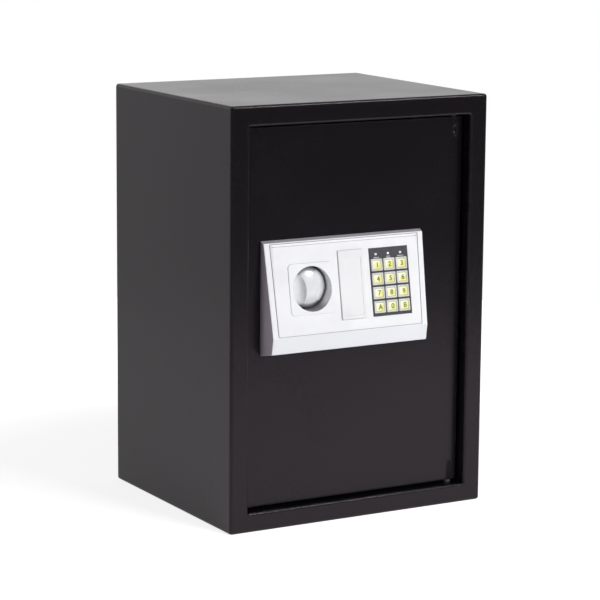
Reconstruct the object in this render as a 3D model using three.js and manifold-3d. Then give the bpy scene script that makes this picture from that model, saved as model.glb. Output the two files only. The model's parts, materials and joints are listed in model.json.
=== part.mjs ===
// A small steel security safe with an electronic lock on its door.
// Millimetres, +Z up. The origin is the centre of the footprint and the door faces -Y.

import * as THREE from 'three';
import { mergeVertices } from 'three/addons/utils/BufferGeometryUtils.js';
import { ConvexGeometry } from 'three/addons/geometries/ConvexGeometry.js';
import Module from 'manifold-3d';

const wasm = await Module();
wasm.setup();

// Clearances
const seatGap = 0.3;          // between pieces that touch or are fixed together
const runGap = 0.4;           // round a piece that turns or slides

// Body: one wrapped sheet with a folded door frame, and a back plate welded in
const bodyWidth = 348;
const bodyDepth = 298;
const bodyHeight = 500;
const bodySheet = 2;
const cornerBend = 3.5;       // outer radius of the four long bends
const frontBend = 3.5;        // outer radius where the sheet turns in to the frame
const frameSide = 24;         // width of the frame beside the door
const frameTop = 24;
const frameSill = 23;
const frameReturn = 27;       // depth of the frame's inward fold
const mouthBend = 3;          // radius of the fold round the door opening
const anchorRadius = 6;       // bolt holes for fixing to a wall or a floor
const anchorSpacing = 150;
const backAnchorHeight = 390;
const floorAnchorY = 40;

// Door
const doorRecess = 15;        // door face behind the front of the frame
const doorSheet = 4;
const doorGapSide = 2;
const doorGapEnd = 3;
const doorCorner = 1.5;
const doorEdge = 0.6;
const hingeInset = 10;        // pin axis from the door's hinge edge
const pinDepth = 4.2;         // pin axis behind the door face
const pinRadius = 3;
const pinEngagement = 24;     // length of pin welded into the door
const pinReach = 4;           // length of pin past the frame's fold
const washerRadius = 4.2;

// Shelf, its rails and the floor mat
const shelfHeight = 246;
const shelfSheet = 1.5;
const shelfLip = 18;
const shelfFront = 83.5;      // shelf edge behind the front of the safe
const shelfSideGap = 1.5;
const shelfBackGap = 3.5;
const railLength = 192;
const railFront = 93.5;
const railWidth = 20;
const railDrop = 14;
const matSheet = 3;
const matFront = 30;
const matGap = 1.5;
const matHoleRadius = 9;     // over the floor's bolt holes

// Lock panel: a moulded wedge on the door, given by its side view
const panelX = -18.5;
const panelBottom = 206.1;
const panelWidth = 218;
const panelHeight = 135.1;
const faceTopDepth = 6;       // how far the top of the sloping face stands off the door
const faceTopDrop = 2.5;
const creaseDepth = 25.7;     // where the sloping face ends
const creaseHeight = 23.2;
const noseDepth = 22.7;       // lower edge of the nose under the crease
const noseHeight = 4.4;
const panelDraft = 0.14;
const panelWall = 2.5;
const panelEdge = 1;
const plateMargin = 8;        // from the panel's side to the raised face plate
const plateTop = 2;
const plateFoot = 2.2;
const plateRise = 0.7;
const plateBevel = 2.6;
const plateCorner = 1.2;
const grooveWidth = 1;
const grooveDepth = 1;
const panelScrewX = 96;       // screw posts from the panel's middle
const panelScrewTop = 120;    // and above its lower edge
const panelScrewLow = 10;
const screwPostRadius = 3.5;
const screwPilot = 1.2;
const screwBite = 5;

// Knob, spindle and crank
const knobX = -68;
const knobZ = 283.4;
const surroundSize = 60.3;     // raised square round the knob
const surroundRise = 1.2;
const surroundCorner = 4.5;
const surroundBevel = 0.8;
const wellRadius = 26.2;      // round well that the knob sits in, open to the door
const knobRadius = 24;
const knobBase = 3.2;
const knobRim = 5;
const knobTop = 14.5;
const knobBore = 10;
const gripHalf = 5.5;         // half width of the grip ridge at its waist
const gripFlare = 4.4;         // and how far each side spreads at the knob's edge
const scoopRadius = 9;
const scoopFloor = 5.5;
const scoopLength = 1.1;      // of the knob's radius, each way
const knobTilt = 8;           // the ridge leans a little at rest
const spindleRadius = 5;
const bushRadius = 7.2;
const crankRadius = 12;       // spindle axis to crank pin
const crankHub = 9;
const crankSheet = 4;
const crankLift = 0.8;
const crankPinRadius = 3;
const crankPinEnd = 11.5;
const crankEye = 1.5;         // metal round the crank pin
const crankPlay = 0.6;        // pin's play in the slide's slot
const crankTurn = 90;

// Boltwork on the back of the door
const boltThrow = 17;
const boltRadius = 9;
const boltDepth = 18;         // bolt axis behind the door
const boltSpread = 50;        // bolt axes above and below the knob
const boltTip = 2;            // withdrawn bolt tip inside the door's edge
const boltChamfer = 2;
const boltTenon = 5;
const slideDepth = 6.5;
const slideSheet = 3;
const slideReach = 30;        // folded end of the slide that carries the bolts
const slideInset = 40;        // folded end of the slide from the door's free edge
const slideHalfHeight = 64;
const slideWide = -59;        // right end of the slide's wide part
const tabRight = -41;         // right end of its locking tab
const tabTop = 301;
const tabBottom = 263;
const studX = -83;
const studSpread = 48;
const studRadius = 4;
const studShoulder = 7;
const clipSheet = 1.2;
const studEnd = 1.5;          // stud past its clip
const guideInset = 5;         // bolt guide from the door's free edge
const guideSheet = 3;
const guideFoot = 7;
const guideHalfHeight = 70;
const guideLip = 6;           // guide past the bolts

// Solenoid that holds the slide shut
const coilX = -47;
const coilDepth = 8;
const coilBottom = 313;
const coilFrameWidth = 20;
const coilFrameDepth = 13;
const coilFrameHeight = 30;
const coilFrameSheet = 1.5;
const coilRadius = 5.8;
const plungerRadius = 3;
const plungerLift = 4;
const crossPinRadius = 1.5;
const crossPinHeight = 4;
const crossPinEnd = 18.5;     // behind the door, just over the key lock's lever

// Emergency key lock behind the centre cover
const lockX = -13.9;
const lockZ = 284;
const barrelFront = 14.2;
const barrelHead = 9.5;
const barrelRadius = 8;
const barrelEnd = 14;
const plugRadius = 6;
const plugTail = 3;
const plugEnd = 19;
const keySlotWidth = 1.4;
const keySlotHeight = 7.5;
const keySlotDepth = 6;
const nutSize = 12.7;
const nutSheet = 4;
const leverDepth = 15.6;
const leverSheet = 1.8;
const leverLength = 37;
const leverHalf = 4;
const leverAngle = 246.2;     // lever direction at rest, seen from the front

// Centre cover, given down the sloping face from its top edge
const coverX = 4.9;           // from the panel's middle
const coverWidth = 34.2;
const coverTop = 14.9;
const coverBottom = 96.3;
const coverSheet = 1.8;
const coverRim = 2.7;         // edge that laps over the face
const coverSkirt = 1.7;
const coverSkirtWall = 1.2;
const fieldBorder = 4;
const fieldTop = 24;
const fieldFoot = 92;
const fieldDepth = 0.5;
const lockPocketDepth = 1;

// Keypad
const keypadX = 57.8;         // from the panel's middle
const keypadWidth = 53.6;
const keypadTop = 15.4;
const keypadBottom = 96;
const keypadSheet = 1.6;
const keypadSink = 0.3;       // frame below the face plate
const keyWidth = 15.5;
const keyHeight = 14.4;
const keyPitchX = 17;
const keyPitchZ = 16.6;
const firstKeyRow = 35.4;
const keyRise = 1.1;
const keyLength = 4.1;
const keyCorner = 1;
const windowWidth = 11.4;
const windowHeight = 10.6;
const windowDepth = 0.5;
const keyNames = ['1', '2', '3', '4', '5', '6', '7', '8', '9', 'a', '0', 'b'];
const lensRow = 22.7;
const lensWidth = 3;
const lensHeight = 2.2;
const lensRise = 0.2;
const lensBar = 5;
const keypadRim = 0.9;
const keyMatFront = 3.7;
const keyMatSheet = 1;
const boardSheet = 1.6;
const chipWidth = 12;
const chipHeight = 10;
const chipRise = 1.6;
const sounderRadius = 5.5;
const sounderRise = 5;

// Inner cover over the boltwork, with the battery bay and the reset button
const caseInset = 16;         // cover from the door's free edge
const caseRight = 98;
const caseBottom = 200;
const caseTop = 362;
const caseDepth = 42;
const caseSheet = 1.5;
const caseCorner = 6;
const caseEdge = 2.5;
const caseFlange = 11;
const caseScrewInset = 20;    // screw holes from the ends of the cover
const caseScrewRadius = 2.2;
const cellRadius = 7.25;
const cellLength = 50.5;
const cellPitch = 15;
const cellCount = 4;
const bayX = 56;
const bayZ = 242;
const bayWall = 1.6;
const bayDepth = 18;
const lidLap = 4;
const lidSheet = 1.8;
const lidRibPitch = 2.4;      // grip ribs on the lid
const lidRibHalf = 0.6;
const lidRibReach = 10;
const lidRibRise = 0.7;
const resetX = 72;
const resetZ = 328;
const resetRadius = 3.5;
const resetFlange = 5;
const resetFlangeSheet = 1.5;
const resetRise = 3;
const resetTravel = 1.5;
const switchSize = 14;
const switchDepth = 9;
const switchWall = 1.5;

// Leads between the lock's pieces
const leadRadius = 1.75;
const leadHoleX = 40;
const leadHoleZ = 264;
const leadHoleRadius = 8;
const leadSpread = 3.5;

// Faces and axes that several pieces share
const frontY = -bodyDepth / 2;
const backY = bodyDepth / 2;
const doorFace = frontY + doorRecess;
const doorBack = doorFace + doorSheet;
const mouthHalf = bodyWidth / 2 - frameSide;
const mouthTop = bodyHeight - frameTop;
const doorHalf = mouthHalf - doorGapSide;
const doorTop = mouthTop - doorGapEnd;
const doorFoot = frameSill + doorGapEnd;
const hingeX = doorHalf - hingeInset;
const hingeY = doorFace + pinDepth;
const faceTilt = Math.atan2(creaseDepth - faceTopDepth, panelHeight - faceTopDrop - creaseHeight);
const slideLeft = slideInset - doorHalf;
const slideFront = doorBack + slideDepth;
const slideBack = slideFront + slideSheet;
const boltY = doorBack + boltDepth;
const boltHeights = [knobZ + boltSpread, knobZ - boltSpread];
const guideX = guideInset - doorHalf;
const crankStart = THREE.MathUtils.degToRad(90 - crankTurn / 2);
const crankPinX = knobX + crankRadius * Math.cos(crankStart);
const crankPinZ = knobZ + crankRadius * Math.sin(crankStart);
const coilTop = coilBottom + coilFrameHeight;
const coilY = doorBack + coilDepth;
const caseLeft = caseInset - doorHalf;
const caseInside = doorBack + caseDepth - caseSheet;
const radians = THREE.MathUtils.degToRad;

// The sloping face has its own frame: origin at the middle of its top edge,
// x along the edge, y into the panel and z up the slope.
const faceOrigin = new THREE.Vector3(panelX, doorFace - faceTopDepth,
  panelBottom + panelHeight - faceTopDrop);
const faceFrame = new THREE.Matrix4().makeRotationX(-faceTilt).setPosition(faceOrigin);
const keypadFloor = keypadSheet + keypadSink - plateRise;
const keypadFront = keypadFloor - keypadSheet;
const keyColumns = [-1, 0, 1].map((step) => keypadX + step * keyPitchX);
const keyRows = [0, 1, 2, 3].map((step) => -firstKeyRow - step * keyPitchZ);

// Joining and cutting

function toSolid(geometry) {
  const bare = geometry.clone();
  bare.deleteAttribute('normal');
  bare.deleteAttribute('uv');
  const merged = mergeVertices(bare, 1e-4);
  const points = merged.attributes.position;
  const corner = (i) => new THREE.Vector3().fromBufferAttribute(points, i);
  const triangles = [];
  let volume = 0;
  for (let i = 0; i < merged.index.count; i += 3) {
    const [a, b, c] = merged.index.array.slice(i, i + 3);
    if (a !== b && b !== c && c !== a) {
      triangles.push([a, b, c]);
      volume += corner(a).dot(corner(b).cross(corner(c)));
    }
  }
  const outward = volume > 0 ? triangles : triangles.map(([a, b, c]) => [a, c, b]);
  return new wasm.Manifold(new wasm.Mesh({
    numProp: 3,
    vertProperties: new Float32Array(points.array),
    triVerts: new Uint32Array(outward.flat()),
  }));
}

function fromSolid(solid) {
  const mesh = solid.getMesh();
  const geometry = new THREE.BufferGeometry();
  geometry.setAttribute('position', new THREE.BufferAttribute(mesh.vertProperties, 3));
  geometry.setIndex(new THREE.BufferAttribute(mesh.triVerts, 1));
  const faceted = geometry.toNonIndexed();
  faceted.computeVertexNormals();
  return faceted;
}

function cut(geometry, ...tools) {
  return fromSolid(tools.reduce((solid, tool) => solid.subtract(toSolid(tool)), toSolid(geometry)));
}

function join(geometry, ...others) {
  return fromSolid(others.reduce((solid, other) => solid.add(toSolid(other)), toSolid(geometry)));
}

function common(geometry, other) {
  return fromSolid(toSolid(geometry).intersect(toSolid(other)));
}

// Basic forms

function box([x0, y0, z0], [x1, y1, z1]) {
  const geometry = new THREE.BoxGeometry(x1 - x0, y1 - y0, z1 - z0);
  return geometry.translate((x0 + x1) / 2, (y0 + y1) / 2, (z0 + z1) / 2);
}

// A round bar along y, from one y to the other, with its axis at (x, z)
function barY(radius, x, z, from, to, sides = 24) {
  const geometry = new THREE.CylinderGeometry(radius, radius, to - from, sides);
  return geometry.translate(x, (from + to) / 2, z);
}

function barZ(radius, x, y, from, to, sides = 24) {
  const geometry = new THREE.CylinderGeometry(radius, radius, to - from, sides);
  return geometry.rotateX(Math.PI / 2).translate(x, y, (from + to) / 2);
}

function barX(radius, y, z, from, to, sides = 24) {
  const geometry = new THREE.CylinderGeometry(radius, radius, to - from, sides);
  return geometry.rotateZ(Math.PI / 2).translate((from + to) / 2, y, z);
}

// A turned piece: pairs of radius and place along the axis, starting and ending on it
function turned(profile, sides = 32) {
  return new THREE.LatheGeometry(profile.map(([r, along]) => new THREE.Vector2(r, along)), sides);
}

function turnedY(profile, x, z, sides) {
  return turned(profile, sides).translate(x, 0, z);
}

// A polygon with its corners rounded, counter-clockwise seen from the front
function rounded(corners, radius, steps = 3) {
  const outline = [];
  corners.forEach((corner, i) => {
    const toLast = corners.at(i - 1).clone().sub(corner).normalize();
    const toNext = corners[(i + 1) % corners.length].clone().sub(corner).normalize();
    const half = Math.acos(toLast.dot(toNext)) / 2;
    const middle = toLast.clone().add(toNext).normalize();
    const centre = corner.clone().addScaledVector(middle, radius / Math.sin(half));
    const start = corner.clone().addScaledVector(toLast, radius / Math.tan(half)).sub(centre);
    const sweep = Math.PI - 2 * half;
    for (let k = 0; k <= steps; k++) {
      outline.push(start.clone().rotateAround(new THREE.Vector2(), sweep * k / steps).add(centre));
    }
  });
  return outline;
}

function rectangle([x0, z0], [x1, z1], radius = 0, steps = 3) {
  const corners = [[x0, z0], [x1, z0], [x1, z1], [x0, z1]].map(([x, z]) => new THREE.Vector2(x, z));
  return radius > 0 ? rounded(corners, radius, steps) : corners;
}

// A skin over outlines that stand across y, in the order of their y
function loft(stations) {
  const count = stations[0].outline.length;
  const last = (stations.length - 1) * count;
  const points = stations.flatMap(({ y, outline }) => outline.flatMap((p) => [p.x, y, p.y]));
  const triangles = [];
  for (let i = 0; i < last; i += count) {
    for (let j = 0; j < count; j++) {
      const k = (j + 1) % count;
      triangles.push(i + j, i + count + k, i + k, i + j, i + count + j, i + count + k);
    }
  }
  for (let j = 1; j < count - 1; j++) {
    triangles.push(0, j, j + 1, last, last + j + 1, last + j);
  }
  const geometry = new THREE.BufferGeometry();
  geometry.setAttribute('position', new THREE.Float32BufferAttribute(points, 3));
  geometry.setIndex(triangles);
  return geometry;
}

// A flat outline given a thickness along y
function slab(outline, from, to) {
  return loft([{ y: from, outline }, { y: to, outline }]);
}

// A profile in y and z, carried along x
function alongX(profile, from, to) {
  const shape = new THREE.Shape(profile.map(([y, z]) => new THREE.Vector2(y, z)));
  const geometry = new THREE.ExtrudeGeometry(shape, { depth: to - from, bevelEnabled: false });
  const turn = new THREE.Matrix4().makeBasis(new THREE.Vector3(0, 1, 0),
    new THREE.Vector3(0, 0, 1), new THREE.Vector3(1, 0, 0));
  return geometry.applyMatrix4(turn).translate(from, 0, 0);
}

// A profile in x and z, carried along y
function alongY(profile, from, to) {
  const shape = new THREE.Shape(profile.map(([x, z]) => new THREE.Vector2(x, z)));
  const geometry = new THREE.ExtrudeGeometry(shape, { depth: to - from, bevelEnabled: false });
  return geometry.rotateX(Math.PI / 2).translate(0, to, 0);
}

// A block with a rounded front edge, as pressed or moulded pieces have
function softBlock([x0, z0], [x1, z1], from, to, corner, edge, steps = 2, cornerSteps = 3) {
  const stations = [];
  for (let k = 0; k <= steps; k++) {
    const turn = Math.PI / 2 * k / steps;
    const inset = edge * (1 - Math.sin(turn));
    stations.push({
      y: from + edge * (1 - Math.cos(turn)),
      outline: rectangle([x0 + inset, z0 + inset], [x1 - inset, z1 - inset],
        Math.max(corner - inset, corner / 4), cornerSteps),
    });
  }
  stations.push({ y: to, outline: stations.at(-1).outline });
  return loft(stations);
}

// The same block with the rounded edge at its far end
function softBlockBack(low, high, from, to, corner, edge, steps = 2) {
  const geometry = softBlock(low, high, -to, -from, corner, edge, steps);
  return geometry.scale(1, -1, 1);
}

// A round lead through chosen points
function lead(points) {
  const curve = new THREE.CatmullRomCurve3(points.map((p) => new THREE.Vector3(...p)));
  const section = new THREE.Shape();
  section.absarc(0, 0, leadRadius, 0, Math.PI * 2);
  const geometry = new THREE.ExtrudeGeometry(section, {
    extrudePath: curve,
    steps: 4 * (points.length - 1),
    curveSegments: 4,
    bevelEnabled: false,
  });
  return geometry;
}

// Body

function bodyShell() {
  const half = bodyWidth / 2;
  const outside = softBlock([-half, 0], [half, bodyHeight], frontY, backY, cornerBend, frontBend, 4);
  const inside = slab(
    rectangle([bodySheet - half, bodySheet], [half - bodySheet, bodyHeight - bodySheet],
      cornerBend - bodySheet),
    frontY + bodySheet, backY + 1);
  const fold = slab(
    rectangle([-mouthHalf - bodySheet, frameSill - bodySheet],
      [mouthHalf + bodySheet, mouthTop + bodySheet], mouthBend),
    frontY + bodySheet / 2, frontY + frameReturn);
  const steps = 4;
  const mouth = [];
  for (let k = 0; k <= steps; k++) {
    const turn = Math.PI / 2 * k / steps;
    const flare = mouthBend * (1 - Math.sin(turn));
    mouth.push({
      y: frontY + mouthBend * (1 - Math.cos(turn)),
      outline: rectangle([-mouthHalf - flare, frameSill - flare],
        [mouthHalf + flare, mouthTop + flare], 1 + flare),
    });
  }
  mouth.unshift({ y: frontY - 1, outline: mouth[0].outline });
  mouth.push({ y: frontY + frameReturn + 1, outline: mouth.at(-1).outline });
  const pinHole = barZ(pinRadius + runGap, hingeX, hingeY, frameSill - 2 * bodySheet,
    mouthTop + 2 * bodySheet, 20);
  const anchors = [-1, 1].map((side) => barZ(anchorRadius, side * anchorSpacing / 2,
    floorAnchorY, -1, bodySheet + 1, 20));
  return cut(join(cut(outside, inside), fold), loft(mouth), pinHole, ...anchors);
}

function backPanel() {
  const half = bodyWidth / 2 - bodySheet - seatGap;
  const plate = slab(
    rectangle([-half, bodySheet + seatGap], [half, bodyHeight - bodySheet - seatGap],
      cornerBend - bodySheet),
    backY - bodySheet, backY);
  const anchors = [-1, 1].map((side) => barY(anchorRadius, side * anchorSpacing / 2,
    backAnchorHeight, backY - bodySheet - 1, backY + 1, 20));
  return cut(plate, ...anchors);
}

function shelfRail(side) {
  const wall = bodyWidth / 2 - bodySheet - seatGap;
  const top = shelfHeight - seatGap;
  const angle = [
    [side * wall, top],
    [side * (wall - railWidth), top],
    [side * (wall - railWidth), top - shelfSheet],
    [side * (wall - shelfSheet), top - shelfSheet],
    [side * (wall - shelfSheet), top - railDrop],
    [side * wall, top - railDrop],
  ];
  return alongY(angle, frontY + railFront, frontY + railFront + railLength);
}

function shelf() {
  const half = bodyWidth / 2 - bodySheet - shelfSideGap;
  const front = frontY + shelfFront;
  const back = backY - bodySheet - shelfBackGap;
  const top = shelfHeight + shelfSheet;
  const section = [
    [front, top - shelfLip],
    [front + shelfSheet, top - shelfLip],
    [front + shelfSheet, shelfHeight],
    [back - shelfSheet, shelfHeight],
    [back, shelfHeight],
    [back, top + shelfLip / 2],
    [back - shelfSheet, top + shelfLip / 2],
    [back - shelfSheet, top],
    [front, top],
  ];
  return alongX(section, -half, half);
}

function floorMat() {
  const half = bodyWidth / 2 - bodySheet - matGap;
  const floor = bodySheet + seatGap;
  const mat = box([-half, frontY + matFront, floor],
    [half, backY - bodySheet - matGap, floor + matSheet]);
  const holes = [-1, 1].map((side) => barZ(matHoleRadius, side * anchorSpacing / 2, floorAnchorY,
    floor - 1, floor + matSheet + 1));
  return cut(mat, ...holes);
}

function hingeWasher() {
  const low = frameSill + seatGap;
  const high = doorFoot - seatGap;
  return cut(barZ(washerRadius, hingeX, hingeY, low, high),
    barZ(pinRadius + runGap, hingeX, hingeY, low - 1, high + 1, 20));
}

// Door

function doorPlate() {
  const plate = softBlock([-doorHalf, doorFoot], [doorHalf, doorTop], doorFace, doorBack,
    doorCorner, doorEdge);
  const through = (radius, x, z) => barY(radius, x, z, doorFace - 1, doorBack + 1);
  const seatHalf = pinRadius + seatGap;
  const pinSeats = [[doorFoot - 1, doorFoot + pinEngagement + seatGap],
    [doorTop - pinEngagement - seatGap, doorTop + 1]].map(([low, high]) => box(
    [hingeX - seatHalf, hingeY - seatHalf, low], [hingeX + seatHalf, doorBack + 1, high]));
  const panelScrews = [-1, 1].flatMap((side) => [panelScrewLow, panelScrewTop].map((up) =>
    through(screwPilot + 1, panelX + side * panelScrewX, panelBottom + up)));
  return cut(plate, ...pinSeats, ...panelScrews,
    through(bushRadius + seatGap, knobX, knobZ),
    through(barrelRadius + seatGap, lockX, lockZ),
    through(leadHoleRadius, leadHoleX, leadHoleZ));
}

function hingePin(top) {
  const [low, high] = top
    ? [doorTop - pinEngagement, mouthTop + bodySheet + pinReach]
    : [frameSill - bodySheet - pinReach, doorFoot + pinEngagement];
  const tip = pinRadius / 3;
  const profile = [[0, low], [pinRadius - tip, low], [pinRadius, low + tip],
    [pinRadius, high - tip], [pinRadius - tip, high], [0, high]];
  return turned(profile, 20).rotateX(Math.PI / 2).translate(hingeX, hingeY, 0);
}

// The panel's wedge, drawn in by a wall thickness and with its edges rounded. It is the hull
// of the points where small balls inside its corners touch its faces.
function wedge(inset, radius) {
  const behind = -4;
  const side = [[0, panelHeight], [faceTopDepth, panelHeight - faceTopDrop],
    [creaseDepth, creaseHeight], [noseDepth, noseHeight], [0, 0]];
  const lines = side.slice(1).map(([d1, h1], i) => {
    const [d0, h0] = side[i];
    const normal = new THREE.Vector2(h0 - h1, d1 - d0).normalize();
    return { normal, reach: normal.dot(new THREE.Vector2(d0, h0)) - inset - radius };
  });
  const depthAt = (line, depth) => [depth, (line.reach - line.normal.x * depth) / line.normal.y];
  const meet = (a, b) => {
    const det = a.normal.x * b.normal.y - a.normal.y * b.normal.x;
    return [(a.reach * b.normal.y - b.reach * a.normal.y) / det,
      (a.normal.x * b.reach - b.normal.x * a.reach) / det];
  };
  const corners = [
    { at: depthAt(lines[0], behind), faces: [lines[0]] },
    ...lines.slice(1).map((line, i) => ({ at: meet(lines[i], line), faces: [lines[i], line] })),
    { at: depthAt(lines.at(-1), behind), faces: [lines.at(-1)] },
  ];
  const steps = radius > 0 ? 3 : 1;
  const slant = Math.hypot(1, panelDraft);
  const points = [];
  for (const hand of [-1, 1]) {
    const flank = new THREE.Vector3(hand, -panelDraft, 0).normalize();
    for (const { at: [depth, height], faces } of corners) {
      const half = panelWidth / 2 - panelDraft * depth - (inset + radius) * slant;
      const centre = new THREE.Vector3(panelX + hand * half, doorFace - depth, panelBottom + height);
      const [one, two = one] = faces.map(({ normal }) => new THREE.Vector3(0, -normal.x, normal.y));
      for (let i = 0; i <= steps; i++) {
        for (let j = 0; j <= steps - i; j++) {
          const reach = new THREE.Vector3().addScaledVector(one, i).addScaledVector(two, j)
            .addScaledVector(flank, steps - i - j).setLength(radius);
          points.push(centre.clone().add(reach));
        }
      }
    }
  }
  return new ConvexGeometry(points);
}

// Puts a piece drawn in the sloping face's frame in its place
function onFace(geometry) {
  return geometry.applyMatrix4(faceFrame);
}

// A shallow recess in the sloping face
function faceRecess(x, half, low, high, depth) {
  return onFace(box([x - half, -panelWall * 4, low], [x + half, depth, high]));
}

// The raised face plate's outline: it follows the panel's slanting sides
function plateOutline(grow, footGrow = grow) {
  const drop = (panelHeight - faceTopDrop - creaseHeight) / Math.cos(faceTilt);
  const halfAt = (depth) => panelWidth / 2 - panelDraft * depth - plateMargin + grow;
  const top = halfAt(faceTopDepth);
  const foot = halfAt(creaseDepth);
  const corners = [[-foot, plateFoot - drop - footGrow], [foot, plateFoot - drop - footGrow],
    [top, grow - plateTop], [-top, grow - plateTop]].map(([x, z]) => new THREE.Vector2(x, z));
  return rounded(corners, plateCorner);
}

function panelHousing() {
  const clear = 60;
  const infront = box([panelX - panelWidth, doorFace - clear, panelBottom - clear],
    [panelX + panelWidth, doorFace - seatGap, panelBottom + panelHeight + clear]);
  const outside = common(wedge(0, panelEdge), infront);
  const shell = cut(outside, wedge(panelWall, 0));
  const well = common(outside,
    barY(wellRadius + panelWall, knobX, knobZ, doorFace - clear, doorFace, 48));
  const posts = [-1, 1].flatMap((side) => [panelScrewLow, panelScrewTop].map((up) =>
    common(outside, barY(screwPostRadius, panelX + side * panelScrewX, panelBottom + up,
      doorFace - clear, doorFace, 16))));
  const pilots = [-1, 1].flatMap((side) => [panelScrewLow, panelScrewTop].map((up) =>
    barY(screwPilot, panelX + side * panelScrewX, panelBottom + up,
      doorFace - screwBite, doorFace + 1, 10)));

  const groove = onFace(slab(plateOutline(grooveWidth), -clear / 10, grooveDepth));
  const plate = onFace(loft([
    { y: -plateRise, outline: plateOutline(-plateBevel, 0) },
    { y: 0, outline: plateOutline(0) },
    { y: panelWall - seatGap, outline: plateOutline(0) },
  ]));
  const surroundX = knobX - panelX;
  const surroundZ = (knobZ - faceOrigin.z) / Math.cos(faceTilt);
  const surroundHalf = surroundSize / 2;
  const surround = onFace(softBlock(
    [surroundX - surroundHalf, surroundZ - surroundHalf],
    [surroundX + surroundHalf, surroundZ + surroundHalf],
    -plateRise - surroundRise, 1, surroundCorner, surroundBevel));

  const openHalf = keyPitchX + keyWidth / 2 + 2 * seatGap;
  const openTop = -lensRow + lensBar / 2 + seatGap;
  const openFoot = keyRows.at(-1) - keyHeight / 2 - 2 * seatGap;
  const keypadSeat = faceRecess(keypadX, keypadWidth / 2 + seatGap,
    -keypadBottom - seatGap, -keypadTop + seatGap, keypadFloor + seatGap);
  const keypadRimHalf = keypadWidth / 2 + 2;
  const keypadRimBlock = onFace(box(
    [keypadX - keypadRimHalf, panelWall - seatGap, -keypadBottom - 2],
    [keypadX + keypadRimHalf, panelWall + keypadRim, -keypadTop + 2]));
  const keypadOpening = onFace(box([keypadX - openHalf, -clear / 10, openFoot],
    [keypadX + openHalf, clear / 4, openTop]));

  const pocketHalf = coverWidth / 2 - coverRim;
  const lockPocket = faceRecess(coverX, pocketHalf, -coverBottom + coverRim,
    -coverTop - coverRim, lockPocketDepth);
  const lockHole = barY(barrelHead + 2 * seatGap, lockX, lockZ, doorFace - clear, doorFace + 1, 32);

  const wellHollow = barY(wellRadius, knobX, knobZ, doorFace - clear, doorFace + 1, 48);
  return cut(join(cut(shell, groove), well, ...posts, plate, surround, keypadRimBlock),
    wellHollow, keypadSeat, keypadOpening, lockPocket, lockHole, ...pilots);
}

function spindleBush() {
  const from = doorFace + seatGap;
  const to = doorBack - seatGap;
  return cut(barY(bushRadius, knobX, knobZ, from, to, 28),
    barY(spindleRadius + runGap / 2, knobX, knobZ, from - 1, to + 1));
}

// Knob and crank

// What a finger's scoop takes away beside the grip ridge. The ridge's sides are hollow:
// they stand closest together in the middle and spread towards the knob's edge.
function scoop(side) {
  const arc = [];
  for (let k = 0; k <= 6; k++) {
    const turn = Math.PI / 2 * k / 6;
    arc.push([gripHalf + scoopRadius * (1 - Math.cos(turn)),
      scoopFloor + scoopRadius * (1 - Math.sin(turn))]);
  }
  const far = 2 * knobRadius;
  const stations = [];
  for (let k = -4; k <= 4; k++) {
    const along = k / 4 * scoopLength;
    const spread = gripFlare * along ** 2;
    const near = arc.map(([x, depth]) => [x + spread, depth]);
    const section = [[gripHalf + spread, 2 * knobTop], ...near, [far, scoopFloor],
      [far, 2 * knobTop]];
    stations.push({
      y: along * knobRadius,
      outline: section.map(([x, depth]) => new THREE.Vector2(side * x, depth)),
    });
  }
  return loft(stations).rotateX(Math.PI / 2);
}

function knob() {
  const rise = knobTop - knobRim;
  const ball = (knobRadius ** 2 + rise ** 2) / (2 * rise);
  const profile = [[0, -knobBase], [knobRadius - 0.8, -knobBase], [knobRadius, -knobBase - 0.8]];
  const steps = 8;
  const start = Math.asin(knobRadius / ball);
  for (let k = 0; k < steps; k++) {
    const turn = start * (1 - k / steps);
    profile.push([ball * Math.sin(turn), ball - knobTop - ball * Math.cos(turn)]);
  }
  profile.push([0, -knobTop]);
  const dome = turned(profile, 48);
  const scoops = [-1, 1].map((side) => scoop(side));
  const bore = barY(spindleRadius + seatGap, 0, 0, -knobBore, 0);
  return cut(dome, ...scoops, bore).rotateY(radians(-knobTilt)).translate(knobX, doorFace, knobZ);
}

function knobSpindle() {
  return barY(spindleRadius, knobX, knobZ, doorFace - knobBore + seatGap,
    doorBack + crankLift + crankSheet);
}

function crank() {
  const from = doorBack + crankLift;
  const to = from + crankSheet;
  const eye = crankPinRadius + crankEye;
  const arm = box([0, from, -eye], [crankRadius, to, eye])
    .rotateY(-crankStart).translate(knobX, 0, knobZ);
  const hub = barY(crankHub, knobX, knobZ, from, to);
  const end = barY(eye, crankPinX, crankPinZ, from, to);
  const pin = barY(crankPinRadius, crankPinX, crankPinZ, from, doorBack + crankPinEnd);
  return cut(join(hub, arm, end, pin),
    barY(spindleRadius + seatGap, knobX, knobZ, from - 1, to + 1));
}

// Boltwork

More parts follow.
